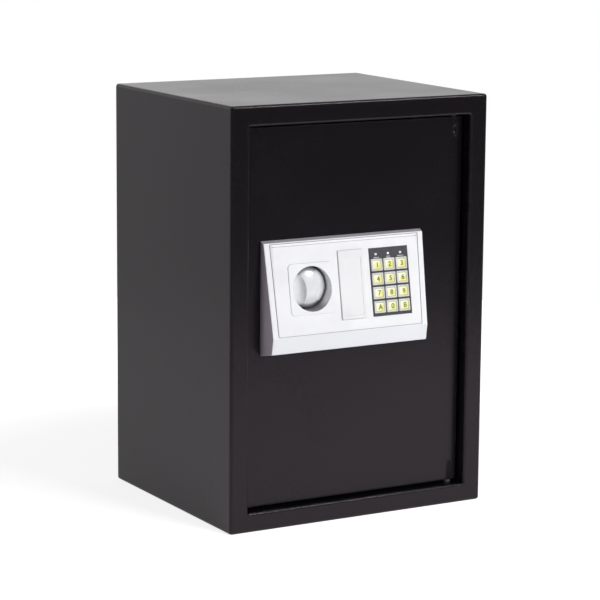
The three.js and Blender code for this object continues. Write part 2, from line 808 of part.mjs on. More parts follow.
function boltSlide() {
  const outline = [
    [slideLeft, knobZ - slideHalfHeight],
    [slideWide, knobZ - slideHalfHeight],
    [slideWide, tabBottom],
    [tabRight, tabBottom],
    [tabRight, tabTop],
    [slideWide, tabTop],
    [slideWide, knobZ + slideHalfHeight],
    [slideLeft, knobZ + slideHalfHeight],
  ];
  const plate = alongY(outline, slideFront, slideBack);
  const end = box([slideLeft, slideFront, knobZ - slideHalfHeight],
    [slideLeft + slideSheet, doorBack + slideReach, knobZ + slideHalfHeight]);
  const tenonHoles = boltHeights.map((z) => barX(boltTenon + seatGap, boltY, z,
    slideLeft - 1, slideLeft + slideSheet + 1));
  const slotHalf = crankPinRadius + crankPlay;
  const crankSlot = box([crankPinX - slotHalf, slideFront - 1, crankPinZ - slotHalf],
    [crankPinX + slotHalf, slideBack + 1, knobZ + crankRadius + slotHalf]);
  const studHalf = studRadius + runGap;
  const studSlots = [-1, 1].map((side) => {
    const z = knobZ + side * studSpread;
    const slot = rectangle([studX - studHalf, z - studHalf],
      [studX + boltThrow + studHalf, z + studHalf], studHalf * 0.98);
    return slab(slot, slideFront - 1, slideBack + 1);
  });
  return cut(join(plate, end), ...tenonHoles, crankSlot, ...studSlots);
}

function bolt(z) {
  const tip = -doorHalf + boltTip;
  const seat = slideLeft - seatGap;
  const end = slideLeft + slideSheet + 1;
  const profile = [[0, tip], [boltRadius - boltChamfer, tip], [boltRadius, tip + boltChamfer],
    [boltRadius, seat], [boltTenon, seat], [boltTenon, end], [0, end]];
  return turned(profile, 28).rotateZ(-Math.PI / 2).translate(0, boltY, z);
}

function boltGuide() {
  const foot = doorBack + seatGap;
  const low = knobZ - guideHalfHeight;
  const high = knobZ + guideHalfHeight;
  const upright = box([guideX, foot, low],
    [guideX + guideSheet, boltY + boltRadius + guideLip, high]);
  const base = box([guideX, foot, low], [guideX + guideSheet + guideFoot, foot + guideSheet, high]);
  return cut(join(upright, base), ...boltHeights.map((z) => barX(boltRadius + runGap, boltY, z,
    guideX - 1, guideX + guideSheet + 1, 28)));
}

function guideStud(z) {
  const foot = doorBack + seatGap;
  const shoulder = slideFront - seatGap;
  const end = slideBack + seatGap + clipSheet + studEnd;
  const profile = [[0, foot], [studShoulder, foot], [studShoulder, shoulder],
    [studRadius, shoulder], [studRadius, end], [0, end]];
  return turnedY(profile, studX, z, 24);
}

function guideClip(z) {
  const from = slideBack + seatGap;
  return cut(barY(studShoulder, studX, z, from, from + clipSheet),
    barY(studRadius + seatGap / 2, studX, z, from - 1, from + clipSheet + 1));
}

// Solenoid

function solenoidFrame() {
  const half = coilFrameWidth / 2;
  const deep = coilFrameDepth / 2;
  const shell = cut(
    box([coilX - half, coilY - deep, coilBottom], [coilX + half, coilY + deep, coilTop]),
    box([coilX - half + coilFrameSheet, coilY - deep - 1, coilBottom + coilFrameSheet],
      [coilX + half + 1, coilY + deep + 1, coilTop - coilFrameSheet]));
  const foot = box([coilX - half, doorBack + seatGap, coilBottom],
    [coilX - half + coilFrameSheet, coilY, coilTop]);
  return cut(join(shell, foot),
    barZ(plungerRadius + runGap, coilX, coilY, coilBottom - 1, coilTop + 1));
}

function solenoidCoil() {
  const low = coilBottom + coilFrameSheet + seatGap;
  const high = coilTop - coilFrameSheet - seatGap;
  const flange = 1.2;
  const spool = coilFrameDepth / 2;
  const winding = join(barZ(coilRadius, coilX, coilY, low, high),
    barZ(spool, coilX, coilY, low, low + flange), barZ(spool, coilX, coilY, high - flange, high));
  return cut(winding, barZ(plungerRadius + runGap, coilX, coilY, low - 1, high + 1));
}

function solenoidPlunger() {
  const low = tabTop + seatGap;
  const high = coilTop - plungerLift / 2;
  return join(barZ(plungerRadius, coilX, coilY, low, high - plungerLift),
    barY(crossPinRadius, coilX, low + crossPinHeight, coilY, doorBack + crossPinEnd, 12));
}

// Emergency key lock

function lockBarrel() {
  const front = doorFace - barrelFront;
  const shoulder = doorFace - seatGap;
  const end = doorBack + barrelEnd;
  const body = turnedY([[0, front], [barrelHead - 0.6, front], [barrelHead, front + 0.6],
    [barrelHead, shoulder], [barrelRadius, shoulder], [barrelRadius, end], [0, end]], lockX, lockZ);
  return cut(body, barY(plugRadius + seatGap, lockX, lockZ, front - 1, end + 1));
}

function lockNut() {
  const from = doorBack + seatGap;
  return cut(barY(nutSize, lockX, lockZ, from, from + nutSheet, 6),
    barY(barrelRadius + seatGap, lockX, lockZ, from - 1, from + nutSheet + 1));
}

function lockPlug() {
  const front = doorFace - barrelFront + seatGap;
  const end = doorBack + barrelEnd + seatGap;
  const tail = box([lockX - plugTail, end - 1, lockZ - plugTail],
    [lockX + plugTail, doorBack + plugEnd, lockZ + plugTail]);
  const slot = box([lockX - keySlotWidth / 2, front - 1, lockZ - keySlotHeight / 2],
    [lockX + keySlotWidth / 2, front + keySlotDepth, lockZ + keySlotHeight / 2]);
  return cut(join(barY(plugRadius, lockX, lockZ, front, end, 28), tail), slot);
}

function lockLever() {
  const from = doorBack + leverDepth;
  const to = from + leverSheet;
  const arm = box([0, from, -leverHalf], [leverLength - leverHalf, to, leverHalf]);
  const eye = barY(leverHalf + 3.5, 0, 0, from, to);
  const tip = barY(leverHalf, leverLength - leverHalf, 0, from, to, 20);
  const turnedLever = join(arm, eye, tip).rotateY(radians(-leverAngle)).translate(lockX, 0, lockZ);
  const half = plugTail + seatGap;
  return cut(turnedLever, box([lockX - half, from - 1, lockZ - half],
    [lockX + half, to + 1, lockZ + half]));
}

// Centre cover: it clips on over the key lock

function centreCover() {
  const under = -plateRise - seatGap;
  const half = coverWidth / 2;
  const plate = softBlock([coverX - half, -coverBottom], [coverX + half, -coverTop],
    under - coverSheet, under, 1.2, 0.8);
  const field = box([coverX - half + fieldBorder, under - coverSheet - 1, -fieldFoot],
    [coverX + half - fieldBorder, under - coverSheet + fieldDepth, -fieldTop]);
  const skirtHalf = half - coverRim - seatGap;
  const skirtLow = -coverBottom + coverRim + seatGap;
  const skirtHigh = -coverTop - coverRim - seatGap;
  const inner = skirtHalf - coverSkirtWall;
  const skirt = cut(
    box([coverX - skirtHalf, under - coverSheet / 4, skirtLow],
      [coverX + skirtHalf, under + coverSkirt, skirtHigh]),
    box([coverX - inner, under, skirtLow + coverSkirtWall],
      [coverX + inner, under + coverSkirt + 1, skirtHigh - coverSkirtWall]));
  return join(cut(plate, field), skirt);
}

// Keypad

function keypadFrame() {
  const half = keypadWidth / 2;
  const holes = keyNames.map((_, i) => {
    const x = keyColumns[i % 3];
    const z = keyRows[Math.floor(i / 3)];
    const across = keyWidth / 2 + seatGap;
    const down = keyHeight / 2 + seatGap;
    return box([x - across, keypadFront - 1, z - down], [x + across, keypadFloor + 1, z + down]);
  });
  const lensHoles = keyColumns.map((x) => box(
    [x - lensWidth / 2 - seatGap, keypadFront - 1, -lensRow - lensHeight / 2 - seatGap],
    [x + lensWidth / 2 + seatGap, keypadFloor + 1, -lensRow + lensHeight / 2 + seatGap]));
  return cut(softBlock([keypadX - half, -keypadBottom], [keypadX + half, -keypadTop],
    keypadFront, keypadFloor, 1, 0.3), ...holes, ...lensHoles);
}

// Three windows on one bar of clear plastic
function indicatorLens() {
  const from = keypadFloor + seatGap;
  const bar = box([keyColumns[0] - 3, from, -lensRow - lensBar / 2],
    [keyColumns[2] + 3, keyMatFront - seatGap, -lensRow + lensBar / 2]);
  return join(bar, ...keyColumns.map((x) => box(
    [x - lensWidth / 2, keypadFront - lensRise, -lensRow - lensHeight / 2],
    [x + lensWidth / 2, from + 0.5, -lensRow + lensHeight / 2])));
}

function keyCap() {
  const front = keypadFront - keyRise;
  const half = keyWidth / 2;
  const tall = keyHeight / 2;
  const cap = softBlock([-half, -tall], [half, tall], front, front + keyLength, keyCorner, 0.4, 1, 2);
  return cut(cap, box([-windowWidth / 2, front - 1, -windowHeight / 2],
    [windowWidth / 2, front + windowDepth, windowHeight / 2]));
}

function keyMat() {
  const half = keypadWidth / 2 - seatGap;
  return box([keypadX - half, keyMatFront, -keypadBottom],
    [keypadX + half, keyMatFront + keyMatSheet, -keypadTop]);
}

function circuitBoard() {
  const from = keyMatFront + keyMatSheet + seatGap;
  const to = from + boardSheet;
  const half = keypadWidth / 2 - seatGap;
  const middle = (to + from) / 2;
  const chipX = (keyColumns[1] + keyColumns[2] + keyWidth - chipWidth) / 2;
  const chip = box([chipX, middle, keyRows[2] - chipHeight / 2],
    [chipX + chipWidth, to + chipRise, keyRows[2] + chipHeight / 2]);
  const sounder = barY(sounderRadius, keyColumns[0], keyRows[3], middle, to + sounderRise, 20);
  const board = box([keypadX - half, from, -keypadBottom], [keypadX + half, to, -keypadTop]);
  return join(board, chip, sounder);
}

// Inner cover, battery bay and reset button

const cellsHeight = cellCount * cellPitch + 0.6;
const bayHalfX = cellLength / 2 + 1.6 + bayWall;
const bayHalfZ = cellsHeight / 2 + bayWall;
const bayFront = caseInside - seatGap - bayDepth;

function innerCase() {
  const outside = softBlockBack([caseLeft, caseBottom], [caseRight, caseTop],
    doorBack + seatGap, doorBack + caseDepth, caseCorner, caseEdge, 3);
  const inside = slab(rectangle([caseLeft + caseSheet, caseBottom + caseSheet],
    [caseRight - caseSheet, caseTop - caseSheet], caseCorner - caseSheet), doorBack - 1, caseInside);
  const flange = slab(
    rectangle([caseLeft + caseCorner, caseBottom - caseFlange],
      [caseRight - caseCorner, caseTop + caseFlange], 3),
    doorBack + seatGap, doorBack + seatGap + caseSheet);
  const screwHoles = [caseLeft + caseScrewInset, caseRight - caseScrewInset].flatMap((x) =>
    [caseBottom - caseFlange / 2, caseTop + caseFlange / 2].map((z) =>
      barY(caseScrewRadius, x, z, doorBack - 1, doorBack + caseSheet + 1, 12)));
  const boltSlots = boltHeights.flatMap((z) => [
    barX(boltRadius + 2 * runGap, boltY, z, caseLeft - 1, caseLeft + caseCorner + 1, 28),
    box([caseLeft - 1, doorBack - 1, z - boltRadius - 2 * runGap],
      [caseLeft + caseCorner + 1, boltY, z + boltRadius + 2 * runGap]),
  ]);
  const bayHole = box([bayX - bayHalfX + bayWall, caseInside - 1, bayZ - bayHalfZ + bayWall],
    [bayX + bayHalfX - bayWall, doorBack + caseDepth + 1, bayZ + bayHalfZ - bayWall]);
  const resetHole = barY(resetRadius + runGap, resetX, resetZ, caseInside - 1,
    doorBack + caseDepth + 1, 20);
  return cut(join(outside, flange), inside, ...screwHoles, ...boltSlots, bayHole, resetHole);
}

function batteryBay() {
  const open = caseInside - seatGap;
  const tray = box([bayX - bayHalfX, bayFront, bayZ - bayHalfZ],
    [bayX + bayHalfX, open, bayZ + bayHalfZ]);
  const hollow = box([bayX - bayHalfX + bayWall, bayFront + bayWall, bayZ - bayHalfZ + bayWall],
    [bayX + bayHalfX - bayWall, open + 1, bayZ + bayHalfZ - bayWall]);
  return cut(tray, hollow);
}

function batteryCell(place) {
  const way = place % 2 === 0 ? 1 : -1;
  const half = cellLength / 2;
  const profile = [[0, -half], [cellRadius - 0.6, -half], [cellRadius, 0.6 - half],
    [cellRadius, half - 1.6], [cellRadius - 0.6, half - 1], [2.7, half - 1], [2.7, half], [0, half]];
  const z = bayZ + (place - (cellCount - 1) / 2) * cellPitch;
  return turned(profile, 20).rotateZ(way * Math.PI / 2)
    .translate(bayX, bayFront + bayWall + seatGap + cellRadius, z);
}

function batteryLid() {
  const from = doorBack + caseDepth + seatGap;
  const plate = softBlockBack([bayX - bayHalfX - lidLap, bayZ - bayHalfZ - lidLap],
    [bayX + bayHalfX + lidLap, bayZ + bayHalfZ + lidLap], from, from + lidSheet, 2, 0.6);
  const ribs = [-1, 0, 1].map((step) => {
    const x = bayX + bayHalfX - 2 * lidRibPitch + step * lidRibPitch;
    return box([x - lidRibHalf, from + lidSheet / 2, bayZ - lidRibReach],
      [x + lidRibHalf, from + lidSheet + lidRibRise, bayZ + lidRibReach]);
  });
  return join(plate, ...ribs);
}

function resetSwitch() {
  const to = caseInside - seatGap;
  const half = switchSize / 2;
  const housing = box([resetX - half, to - switchDepth, resetZ - half],
    [resetX + half, to, resetZ + half]);
  const well = barY(resetFlange + runGap, resetX, resetZ, to - switchDepth + switchWall, to + 1, 20);
  return cut(housing, well);
}

function resetButton() {
  const stop = caseInside - seatGap;
  const foot = stop - switchDepth + switchWall + resetTravel + 1;
  const end = doorBack + caseDepth + resetRise;
  const flange = resetFlangeSheet;
  const edge = 0.5;
  const profile = [[0, foot], [resetRadius, foot], [resetRadius, stop - flange],
    [resetFlange, stop - flange], [resetFlange, stop], [resetRadius, stop],
    [resetRadius, end - edge], [resetRadius - edge, end], [0, end]];
  return turnedY(profile, resetX, resetZ, 20);
}

// Leads, held inside the lock all the way

// Where a lead along y stops short of the sloping circuit board, at a height on the door
function boardBackAt(z) {
  const board = keyMatFront + keyMatSheet + seatGap + boardSheet;
  const up = z + leadRadius - faceOrigin.z;
  return faceOrigin.y + (board + up * Math.sin(faceTilt)) / Math.cos(faceTilt) + seatGap;
}

function batteryLead() {
  const x = leadHoleX + leadSpread;
  const start = bayFront - seatGap;
  const board = boardBackAt(leadHoleZ);
  return lead([[x, start, leadHoleZ - 4], [x, start - 8, leadHoleZ - 4], [x, doorBack, leadHoleZ],
    [x, board + 5, leadHoleZ], [x, board, leadHoleZ]].reverse());
}

function solenoidLead() {
  const x = leadHoleX - leadSpread;
  const start = coilX + coilFrameDepth / 2 + seatGap;
  const board = boardBackAt(leadHoleZ);
  const high = coilBottom + coilFrameHeight / 2;
  return lead([[start + 1, coilY, high], [start + 9, coilY, high], [0, coilY + 2, high - 8],
    [24, coilY + 2, high - 26], [x, coilY, leadHoleZ + 10], [x, doorBack - 1, leadHoleZ],
    [x, board, leadHoleZ]]);
}

// Finishes

const finishes = {
  bodyPaint: { color: 0x1e1e21, roughness: 0.42, metalness: 0.1 },
  steel: { color: 0xb4b7ba, roughness: 0.35, metalness: 0.9 },
  chrome: { color: 0xd4d6d9, roughness: 0.2, metalness: 1 },
  whitePlastic: { color: 0xf0f0f2, roughness: 0.35, metalness: 0 },
  darkPlastic: { color: 0x45454a, roughness: 0.5, metalness: 0 },
  keyPlastic: { color: 0xdfe0ac, roughness: 0.4, metalness: 0 },
  clearPlastic: { color: 0xf4f4f4, roughness: 0.2, metalness: 0 },
  rubber: { color: 0x2a2a2c, roughness: 0.9, metalness: 0 },
  nylon: { color: 0xe4e1d8, roughness: 0.5, metalness: 0 },
  brass: { color: 0xc0a155, roughness: 0.3, metalness: 0.9 },
  copper: { color: 0xa2552e, roughness: 0.4, metalness: 0.7 },
  board: { color: 0x1f5a36, roughness: 0.5, metalness: 0 },
  cell: { color: 0x3a6f4c, roughness: 0.35, metalness: 0.3 },
  redPlastic: { color: 0xb3221c, roughness: 0.4, metalness: 0 },
  lead: { color: 0x222226, roughness: 0.6, metalness: 0 },
};

// The safe

const safe = new THREE.Group();
const face = new THREE.Group();
face.applyMatrix4(faceFrame);
safe.add(face);

function place(name, geometry, finish, group = safe) {
  const mesh = new THREE.Mesh(geometry, new THREE.MeshStandardMaterial(finishes[finish]));
  mesh.name = name;
  group.add(mesh);
  return mesh;
}

place('body_shell', bodyShell(), 'bodyPaint');
place('back_panel', backPanel(), 'bodyPaint');
place('shelf_rail_left', shelfRail(-1), 'bodyPaint');
place('shelf_rail_right', shelfRail(1), 'bodyPaint');
place('shelf', shelf(), 'bodyPaint');
place('floor_mat', floorMat(), 'rubber');
place('hinge_washer', hingeWasher(), 'darkPlastic');

place('door_plate', doorPlate(), 'bodyPaint');
place('hinge_pin_top', hingePin(true), 'steel');
place('hinge_pin_bottom', hingePin(false), 'steel');
place('panel_housing', panelHousing(), 'whitePlastic');
place('spindle_bush', spindleBush(), 'nylon');

place('knob', knob(), 'chrome');
place('knob_spindle', knobSpindle(), 'steel');
place('crank', crank(), 'steel');

place('bolt_slide', boltSlide(), 'steel');
place('bolt_upper', bolt(boltHeights[0]), 'chrome');
place('bolt_lower', bolt(boltHeights[1]), 'chrome');
place('bolt_guide', boltGuide(), 'steel');
for (const [name, side] of [['upper', 1], ['lower', -1]]) {
  place(`guide_stud_${name}`, guideStud(knobZ + side * studSpread), 'steel');
  place(`guide_clip_${name}`, guideClip(knobZ + side * studSpread), 'steel');
}

place('solenoid_frame', solenoidFrame(), 'steel');
place('solenoid_coil', solenoidCoil(), 'copper');
place('solenoid_plunger', solenoidPlunger(), 'steel');

place('lock_barrel', lockBarrel(), 'chrome');
place('lock_nut', lockNut(), 'steel');
place('lock_plug', lockPlug(), 'brass');
place('lock_lever', lockLever(), 'steel');
place('centre_cover', centreCover(), 'whitePlastic', face);

place('keypad_frame', keypadFrame(), 'darkPlastic', face);
place('indicator_lens', indicatorLens(), 'clearPlastic', face);
place('key_mat', keyMat(), 'rubber', face);
place('circuit_board', circuitBoard(), 'board', face);
keyNames.forEach((name, i) => {
  const key = place(`key_${name}`, keyCap(), 'keyPlastic', face);
  key.position.set(keyColumns[i % 3], 0, keyRows[Math.floor(i / 3)]);
});

place('inner_case', innerCase(), 'bodyPaint');
place('battery_bay', batteryBay(), 'darkPlastic');
for (let i = 0; i < cellCount; i++) {
  place(`battery_cell_${i + 1}`, batteryCell(i), 'cell');
}
place('battery_lid', batteryLid(), 'darkPlastic');
place('reset_switch', resetSwitch(), 'darkPlastic');
place('reset_button', resetButton(), 'redPlastic');
place('battery_lead', batteryLead(), 'lead');
place('solenoid_lead', solenoidLead(), 'lead');

export default safe;
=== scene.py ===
# A small steel safe with an electronic lock: its finishes, its fine shapes and the light on it.
# Metres, +Z up. The door faces -Y and the floor is z = 0. A size in a dictionary is in millimetres
# where its note gives no unit.
import json
import math

import bmesh
import bpy
from mathutils import Matrix, Vector

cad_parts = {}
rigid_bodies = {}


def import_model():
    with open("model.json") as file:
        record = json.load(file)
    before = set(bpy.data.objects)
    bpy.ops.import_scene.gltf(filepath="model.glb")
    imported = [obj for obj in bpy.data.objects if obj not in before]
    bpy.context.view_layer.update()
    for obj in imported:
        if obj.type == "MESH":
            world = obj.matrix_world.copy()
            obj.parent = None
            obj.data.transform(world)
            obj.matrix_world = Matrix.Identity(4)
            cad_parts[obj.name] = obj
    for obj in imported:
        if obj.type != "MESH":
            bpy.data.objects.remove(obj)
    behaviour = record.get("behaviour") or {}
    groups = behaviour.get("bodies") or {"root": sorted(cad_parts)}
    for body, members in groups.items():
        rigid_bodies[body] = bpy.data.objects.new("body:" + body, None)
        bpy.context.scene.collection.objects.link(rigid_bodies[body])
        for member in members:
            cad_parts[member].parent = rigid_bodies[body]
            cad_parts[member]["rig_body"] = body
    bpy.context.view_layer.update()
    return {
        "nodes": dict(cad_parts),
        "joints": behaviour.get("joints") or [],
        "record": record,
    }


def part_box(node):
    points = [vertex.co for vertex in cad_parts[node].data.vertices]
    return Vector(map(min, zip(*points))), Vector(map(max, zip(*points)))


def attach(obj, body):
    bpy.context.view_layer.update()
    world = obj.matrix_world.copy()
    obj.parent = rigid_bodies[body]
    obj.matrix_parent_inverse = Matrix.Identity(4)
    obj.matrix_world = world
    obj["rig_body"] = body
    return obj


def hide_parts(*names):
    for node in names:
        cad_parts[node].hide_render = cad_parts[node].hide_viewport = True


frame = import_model()
nodes = frame["nodes"]
joints = {joint["name"]: joint for joint in frame["joints"]}
mm = 0.001

print("camera")

cameraLook = {
    "lens": 149.58,
    "sensor": 36,
    "place": (-1.50692, -2.61173, 0.79697),    # metres
    "azimuth": -30.037,                        # degrees round the safe; 0 faces the door
    "elevation": 10.473,
    "roll": 0.476,
}


def placeCamera(look):
    azimuth = math.radians(look["azimuth"])
    elevation = math.radians(look["elevation"])
    roll = math.radians(look["roll"])
    back = Vector((math.sin(azimuth) * math.cos(elevation),
                   -math.cos(azimuth) * math.cos(elevation), math.sin(elevation)))
    level = Vector((0, 0, 1)).cross(back).normalized()
    steep = back.cross(level)
    right = level * math.cos(roll) + steep * math.sin(roll)
    up = steep * math.cos(roll) - level * math.sin(roll)
    data = bpy.data.cameras.new("camera")
    data.lens = look["lens"]
    data.sensor_width = look["sensor"]
    made = bpy.data.objects.new("camera", data)
    bpy.context.scene.collection.objects.link(made)
    made.matrix_world = Matrix.Translation(look["place"]) @ Matrix((right, up, back)).transposed().to_4x4()
    bpy.context.scene.camera = made


placeCamera(cameraLook)


# Shader and geometry trees

# A socket that can stand in a sum: each operator adds its own Math node
class Wire:
    def __init__(self, owner, socket):
        self.owner = owner
        self.socket = socket

    # Another output of the same node
    def other(self, name):
        return Wire(self.owner, self.socket.node.outputs[name])

    def math(self, kind, first, second):
        return self.owner.node("ShaderNodeMath", {"operation": kind}, {0: first, 1: second})

    def __add__(self, other):
        return self.math("ADD", self, other)

    def __radd__(self, other):
        return self.math("ADD", other, self)

    def __sub__(self, other):
        return self.math("SUBTRACT", self, other)

    def __rsub__(self, other):
        return self.math("SUBTRACT", other, self)

    def __mul__(self, other):
        return self.math("MULTIPLY", self, other)

    def __rmul__(self, other):
        return self.math("MULTIPLY", other, self)

    def __truediv__(self, other):
        return self.math("DIVIDE", self, other)

    def __rtruediv__(self, other):
        return self.math("DIVIDE", other, self)

    def __abs__(self):
        return self.math("ABSOLUTE", self, 0.0)

    def __gt__(self, other):
        return self.math("GREATER_THAN", self, other)

    def __lt__(self, other):
        return self.math("LESS_THAN", self, other)


class NodeTree:
    def __init__(self, tree):
        self.tree = tree

    # Any node: its settings are set first, then the values or links of its sockets
    def node(self, kind, settings=None, inputs=None, output=0):
        made = self.tree.nodes.new(kind)
        for name, value in (settings or {}).items():
            setattr(made, name, value)
        for place, value in (inputs or {}).items():
            for one in value if isinstance(value, list) else [value]:
                self.feed(made.inputs[place], one)
        return Wire(self, made.outputs[output]) if made.outputs else None

    # Links a wire to a socket, or sets the socket's own value
    def feed(self, socket, value):
        if isinstance(value, Wire):
            self.tree.links.new(value.socket, socket)
        else:
            socket.default_value = value

    # The parts of a vector, one wire for each axis
    def split(self, vector, axes="XYZ"):
        return [self.node("ShaderNodeSeparateXYZ", {}, {0: vector}, axis) for axis in axes]

    # A smooth step from the first level to the last, as the value goes from low to high
    def step(self, value, low, high, first=0.0, last=1.0):
        return self.node("ShaderNodeMapRange", {"interpolation_type": "SMOOTHSTEP"}, {
            "Value": value, "From Min": low, "From Max": high, "To Min": first, "To Max": last})


# A tree for a Geometry Nodes modifier: named inputs, and one shape in the finish that it is given
class ShapeTree(NodeTree):
    def __init__(self, name, sizes, counts=()):
        self.group = bpy.data.node_groups.new(name, "GeometryNodeTree")
        super().__init__(self.group)
        sockets = self.group.interface
        for kind, names in (("Float", sizes), ("Int", counts), ("Material", ["Finish"])):
            for one in names:
                sockets.new_socket(one, in_out="INPUT", socket_type=f"NodeSocket{kind}")
        sockets.new_socket("Shape", in_out="OUTPUT", socket_type="NodeSocketGeometry")
        start = self.node("NodeGroupInput")
        self.given = {one: start.other(one) for one in (*sizes, *counts, "Finish")}

    def vector(self, **parts):
        return self.node("ShaderNodeCombineXYZ", {}, parts)

    def raised(self, shape, up, scale=(1, 1, 1)):
        return self.node("GeometryNodeTransform", {}, {
            "Geometry": shape, "Translation": self.vector(Z=up), "Scale": scale})

    def onPoints(self, points, shape, **changes):
        return self.node("GeometryNodeInstanceOnPoints", {},
                         {"Points": points, "Instance": shape, **changes})

    # A random vector between two, for each point
    def varied(self, low, high, seed):
        return self.node("FunctionNodeRandomValue", {"data_type": "FLOAT_VECTOR"},
                         {"Min": low, "Max": high, "Seed": seed})

    # The end of the tree
    def close(self, shape):
        real = self.node("GeometryNodeRealizeInstances", {}, {"Geometry": shape})
        done = self.node("GeometryNodeSetMaterial", {},
                         {"Geometry": real, "Material": self.given["Finish"]})
        self.node("NodeGroupOutput", {}, {"Shape": done})
        return self.group


# A screen colour, 0 to 255, as the linear colour that a shader takes
def tint(red, green, blue):
    linear = [(part / 255 / 12.92) if part < 10.3 else ((part / 255 + 0.055) / 1.055) ** 2.4
              for part in (red, green, blue)]
    return (*linear, 1.0)


# A material with one Principled shader; the plain values stay the same all over it
class Finish(NodeTree):
    def __init__(self, name, **plain):
        self.material = bpy.data.materials.new(name)
        self.material.use_nodes = True
        super().__init__(self.material.node_tree)
        self.shader = self.tree.nodes["Principled BSDF"]
        self.place = self.node("ShaderNodeTexCoord", output="Object")
        self.bumps = None
        for socket, value in plain.items():
            self.give(socket.replace("_", " "), value)

    def give(self, socket, value):
        self.feed(self.shader.inputs[socket], value)

    # Cloudy noise from 0 to 1; the size is that of one patch
    def cloud(self, size, detail=2.0, stretch=(1, 1, 1), shift=0.0):
        place = self.node("ShaderNodeMapping", {}, {
            "Vector": self.place, "Location": (shift, shift, shift),
            "Scale": tuple(part / (size * mm) for part in stretch)})
        return self.node("ShaderNodeTexNoise", {"noise_dimensions": "3D"},
                         {"Vector": place, "Scale": 1.0, "Detail": detail})

    # The crystals of a zinc layer
    def cells(self, size):
        place = self.node("ShaderNodeMapping", {}, {
            "Vector": self.place, "Scale": (1 / (size * mm),) * 3})
        return self.node("ShaderNodeTexVoronoi", {"feature": "F1"}, {"Vector": place, "Scale": 1.0})

    def mix(self, share, first, second):
        return self.node("ShaderNodeMix", {"data_type": "RGBA"}, {0: share, 6: first, 7: second}, 2)

    # One coordinate, in millimetres
    def along(self, axis):
        return self.split(self.place, axis)[0] * (1 / mm)

    # How far an edge is rounded off: 0 on flat faces and up to 1 at a sharp edge
    def edges(self, radius, low=0.02, high=0.2):
        soft = self.node("ShaderNodeBevel", {"samples": 4}, {"Radius": radius * mm})
        true = self.node("ShaderNodeNewGeometry", output="True Normal")
        same = self.node("ShaderNodeVectorMath", {"operation": "DOT_PRODUCT"}, {0: soft, 1: true},
                         "Value")
        return self.step(1 - same, low, high)

    # How deep a place lies in a groove or corner, from 0 to 1
    def hollows(self, reach, low, high):
        clear = self.node("ShaderNodeAmbientOcclusion", {"samples": 8}, {"Distance": reach * mm}, "AO")
        return self.step(1 - clear, low, high)

    # Adds relief over the relief that is there already
    def relief(self, height, depth):
        inputs = {"Height": height, "Distance": depth * mm}
        if self.bumps:
            inputs["Normal"] = self.bumps
        self.bumps = self.node("ShaderNodeBump", {}, inputs)
        self.give("Normal", self.bumps)


print("finishes")

powderLook = {
    "colour": tint(13, 12, 14),
    "worn": tint(44, 43, 47),
    "gloss": (1.0, 0.85, 0.96, 1),
    "roughness": 0.26,
    "smearSize": 120,
    "smear": 0.12,                     # how much the smears change the roughness
    "rubSize": 9,                      # patches where the edges are rubbed
    "rubWidth": 0.8,
    "peelSize": 2.4,                   # the orange peel
    "peelDepth": 0.03,
    "peelOnBends": 10.0,               # how many times that depth the bends add
    "speckSize": 0.7,
    "speckDepth": 0.01,
    "bend": 3.5,                       # the sheet's bends
    "glintSize": 1.6,                  # their grain, which breaks the bright lines on them
    "glintDepth": 1.6,
}


def powderCoat(look):
    finish = Finish("blackPowderCoat", Specular_Tint=look["gloss"])
    peel = finish.cloud(look["peelSize"])
    speck = finish.cloud(look["speckSize"], 3.0, shift=4.0)
    smear = finish.cloud(look["smearSize"], 4.0, shift=9.0)
    bend = finish.edges(look["bend"], 0.004, 0.05)
    glint = finish.cloud(look["glintSize"], 1.0, shift=6.0)
    rub = finish.edges(look["rubWidth"]) * finish.step(finish.cloud(look["rubSize"], 5.0), 0.45, 0.7)
    finish.give("Base Color", finish.mix(rub * 0.5, look["colour"], look["worn"]))
    finish.give("Roughness",
                look["roughness"] + (smear - 0.5) * look["smear"] + (speck - 0.5) * 0.05)
    finish.relief(peel * (1 + bend * look["peelOnBends"]), look["peelDepth"])
    finish.relief(speck, look["speckDepth"])
    finish.relief(glint * bend, look["glintDepth"])
    return finish.material


whiteLook = {
    "colour": tint(240, 240, 243),
    "shaded": tint(233, 233, 236),
    "grooveShade": tint(128, 120, 133),       # painted shade in its grooves and corners
    "grooveShadeReach": 1.6,
    "grooveShadeHeights": (324.0, 338.0),           # over the floor, from where the painted groove shade is stronger
    "upFacingShade": tint(146, 142, 152),    # painted shade on what faces up
    "noseShade": tint(229, 231, 236),    # painted shade on the nose, which faces down
    "leftSideShade": tint(206, 193, 208),    # painted shade on its left side
    "leftShadeFrom": (112.0, 118.0),       # left of the middle
    "roughness": 0.36,
    "grainSize": 0.5,
    "grainDepth": 0.004,
}
coverLook = {
    **whiteLook,
    "colour": tint(235, 235, 237),
    "shaded": tint(228, 228, 230),
    # its painted groove shade, lighter and reaching less far
    "grooveShade": tint(190, 188, 194),
    "grooveShadeReach": 0.8,
}


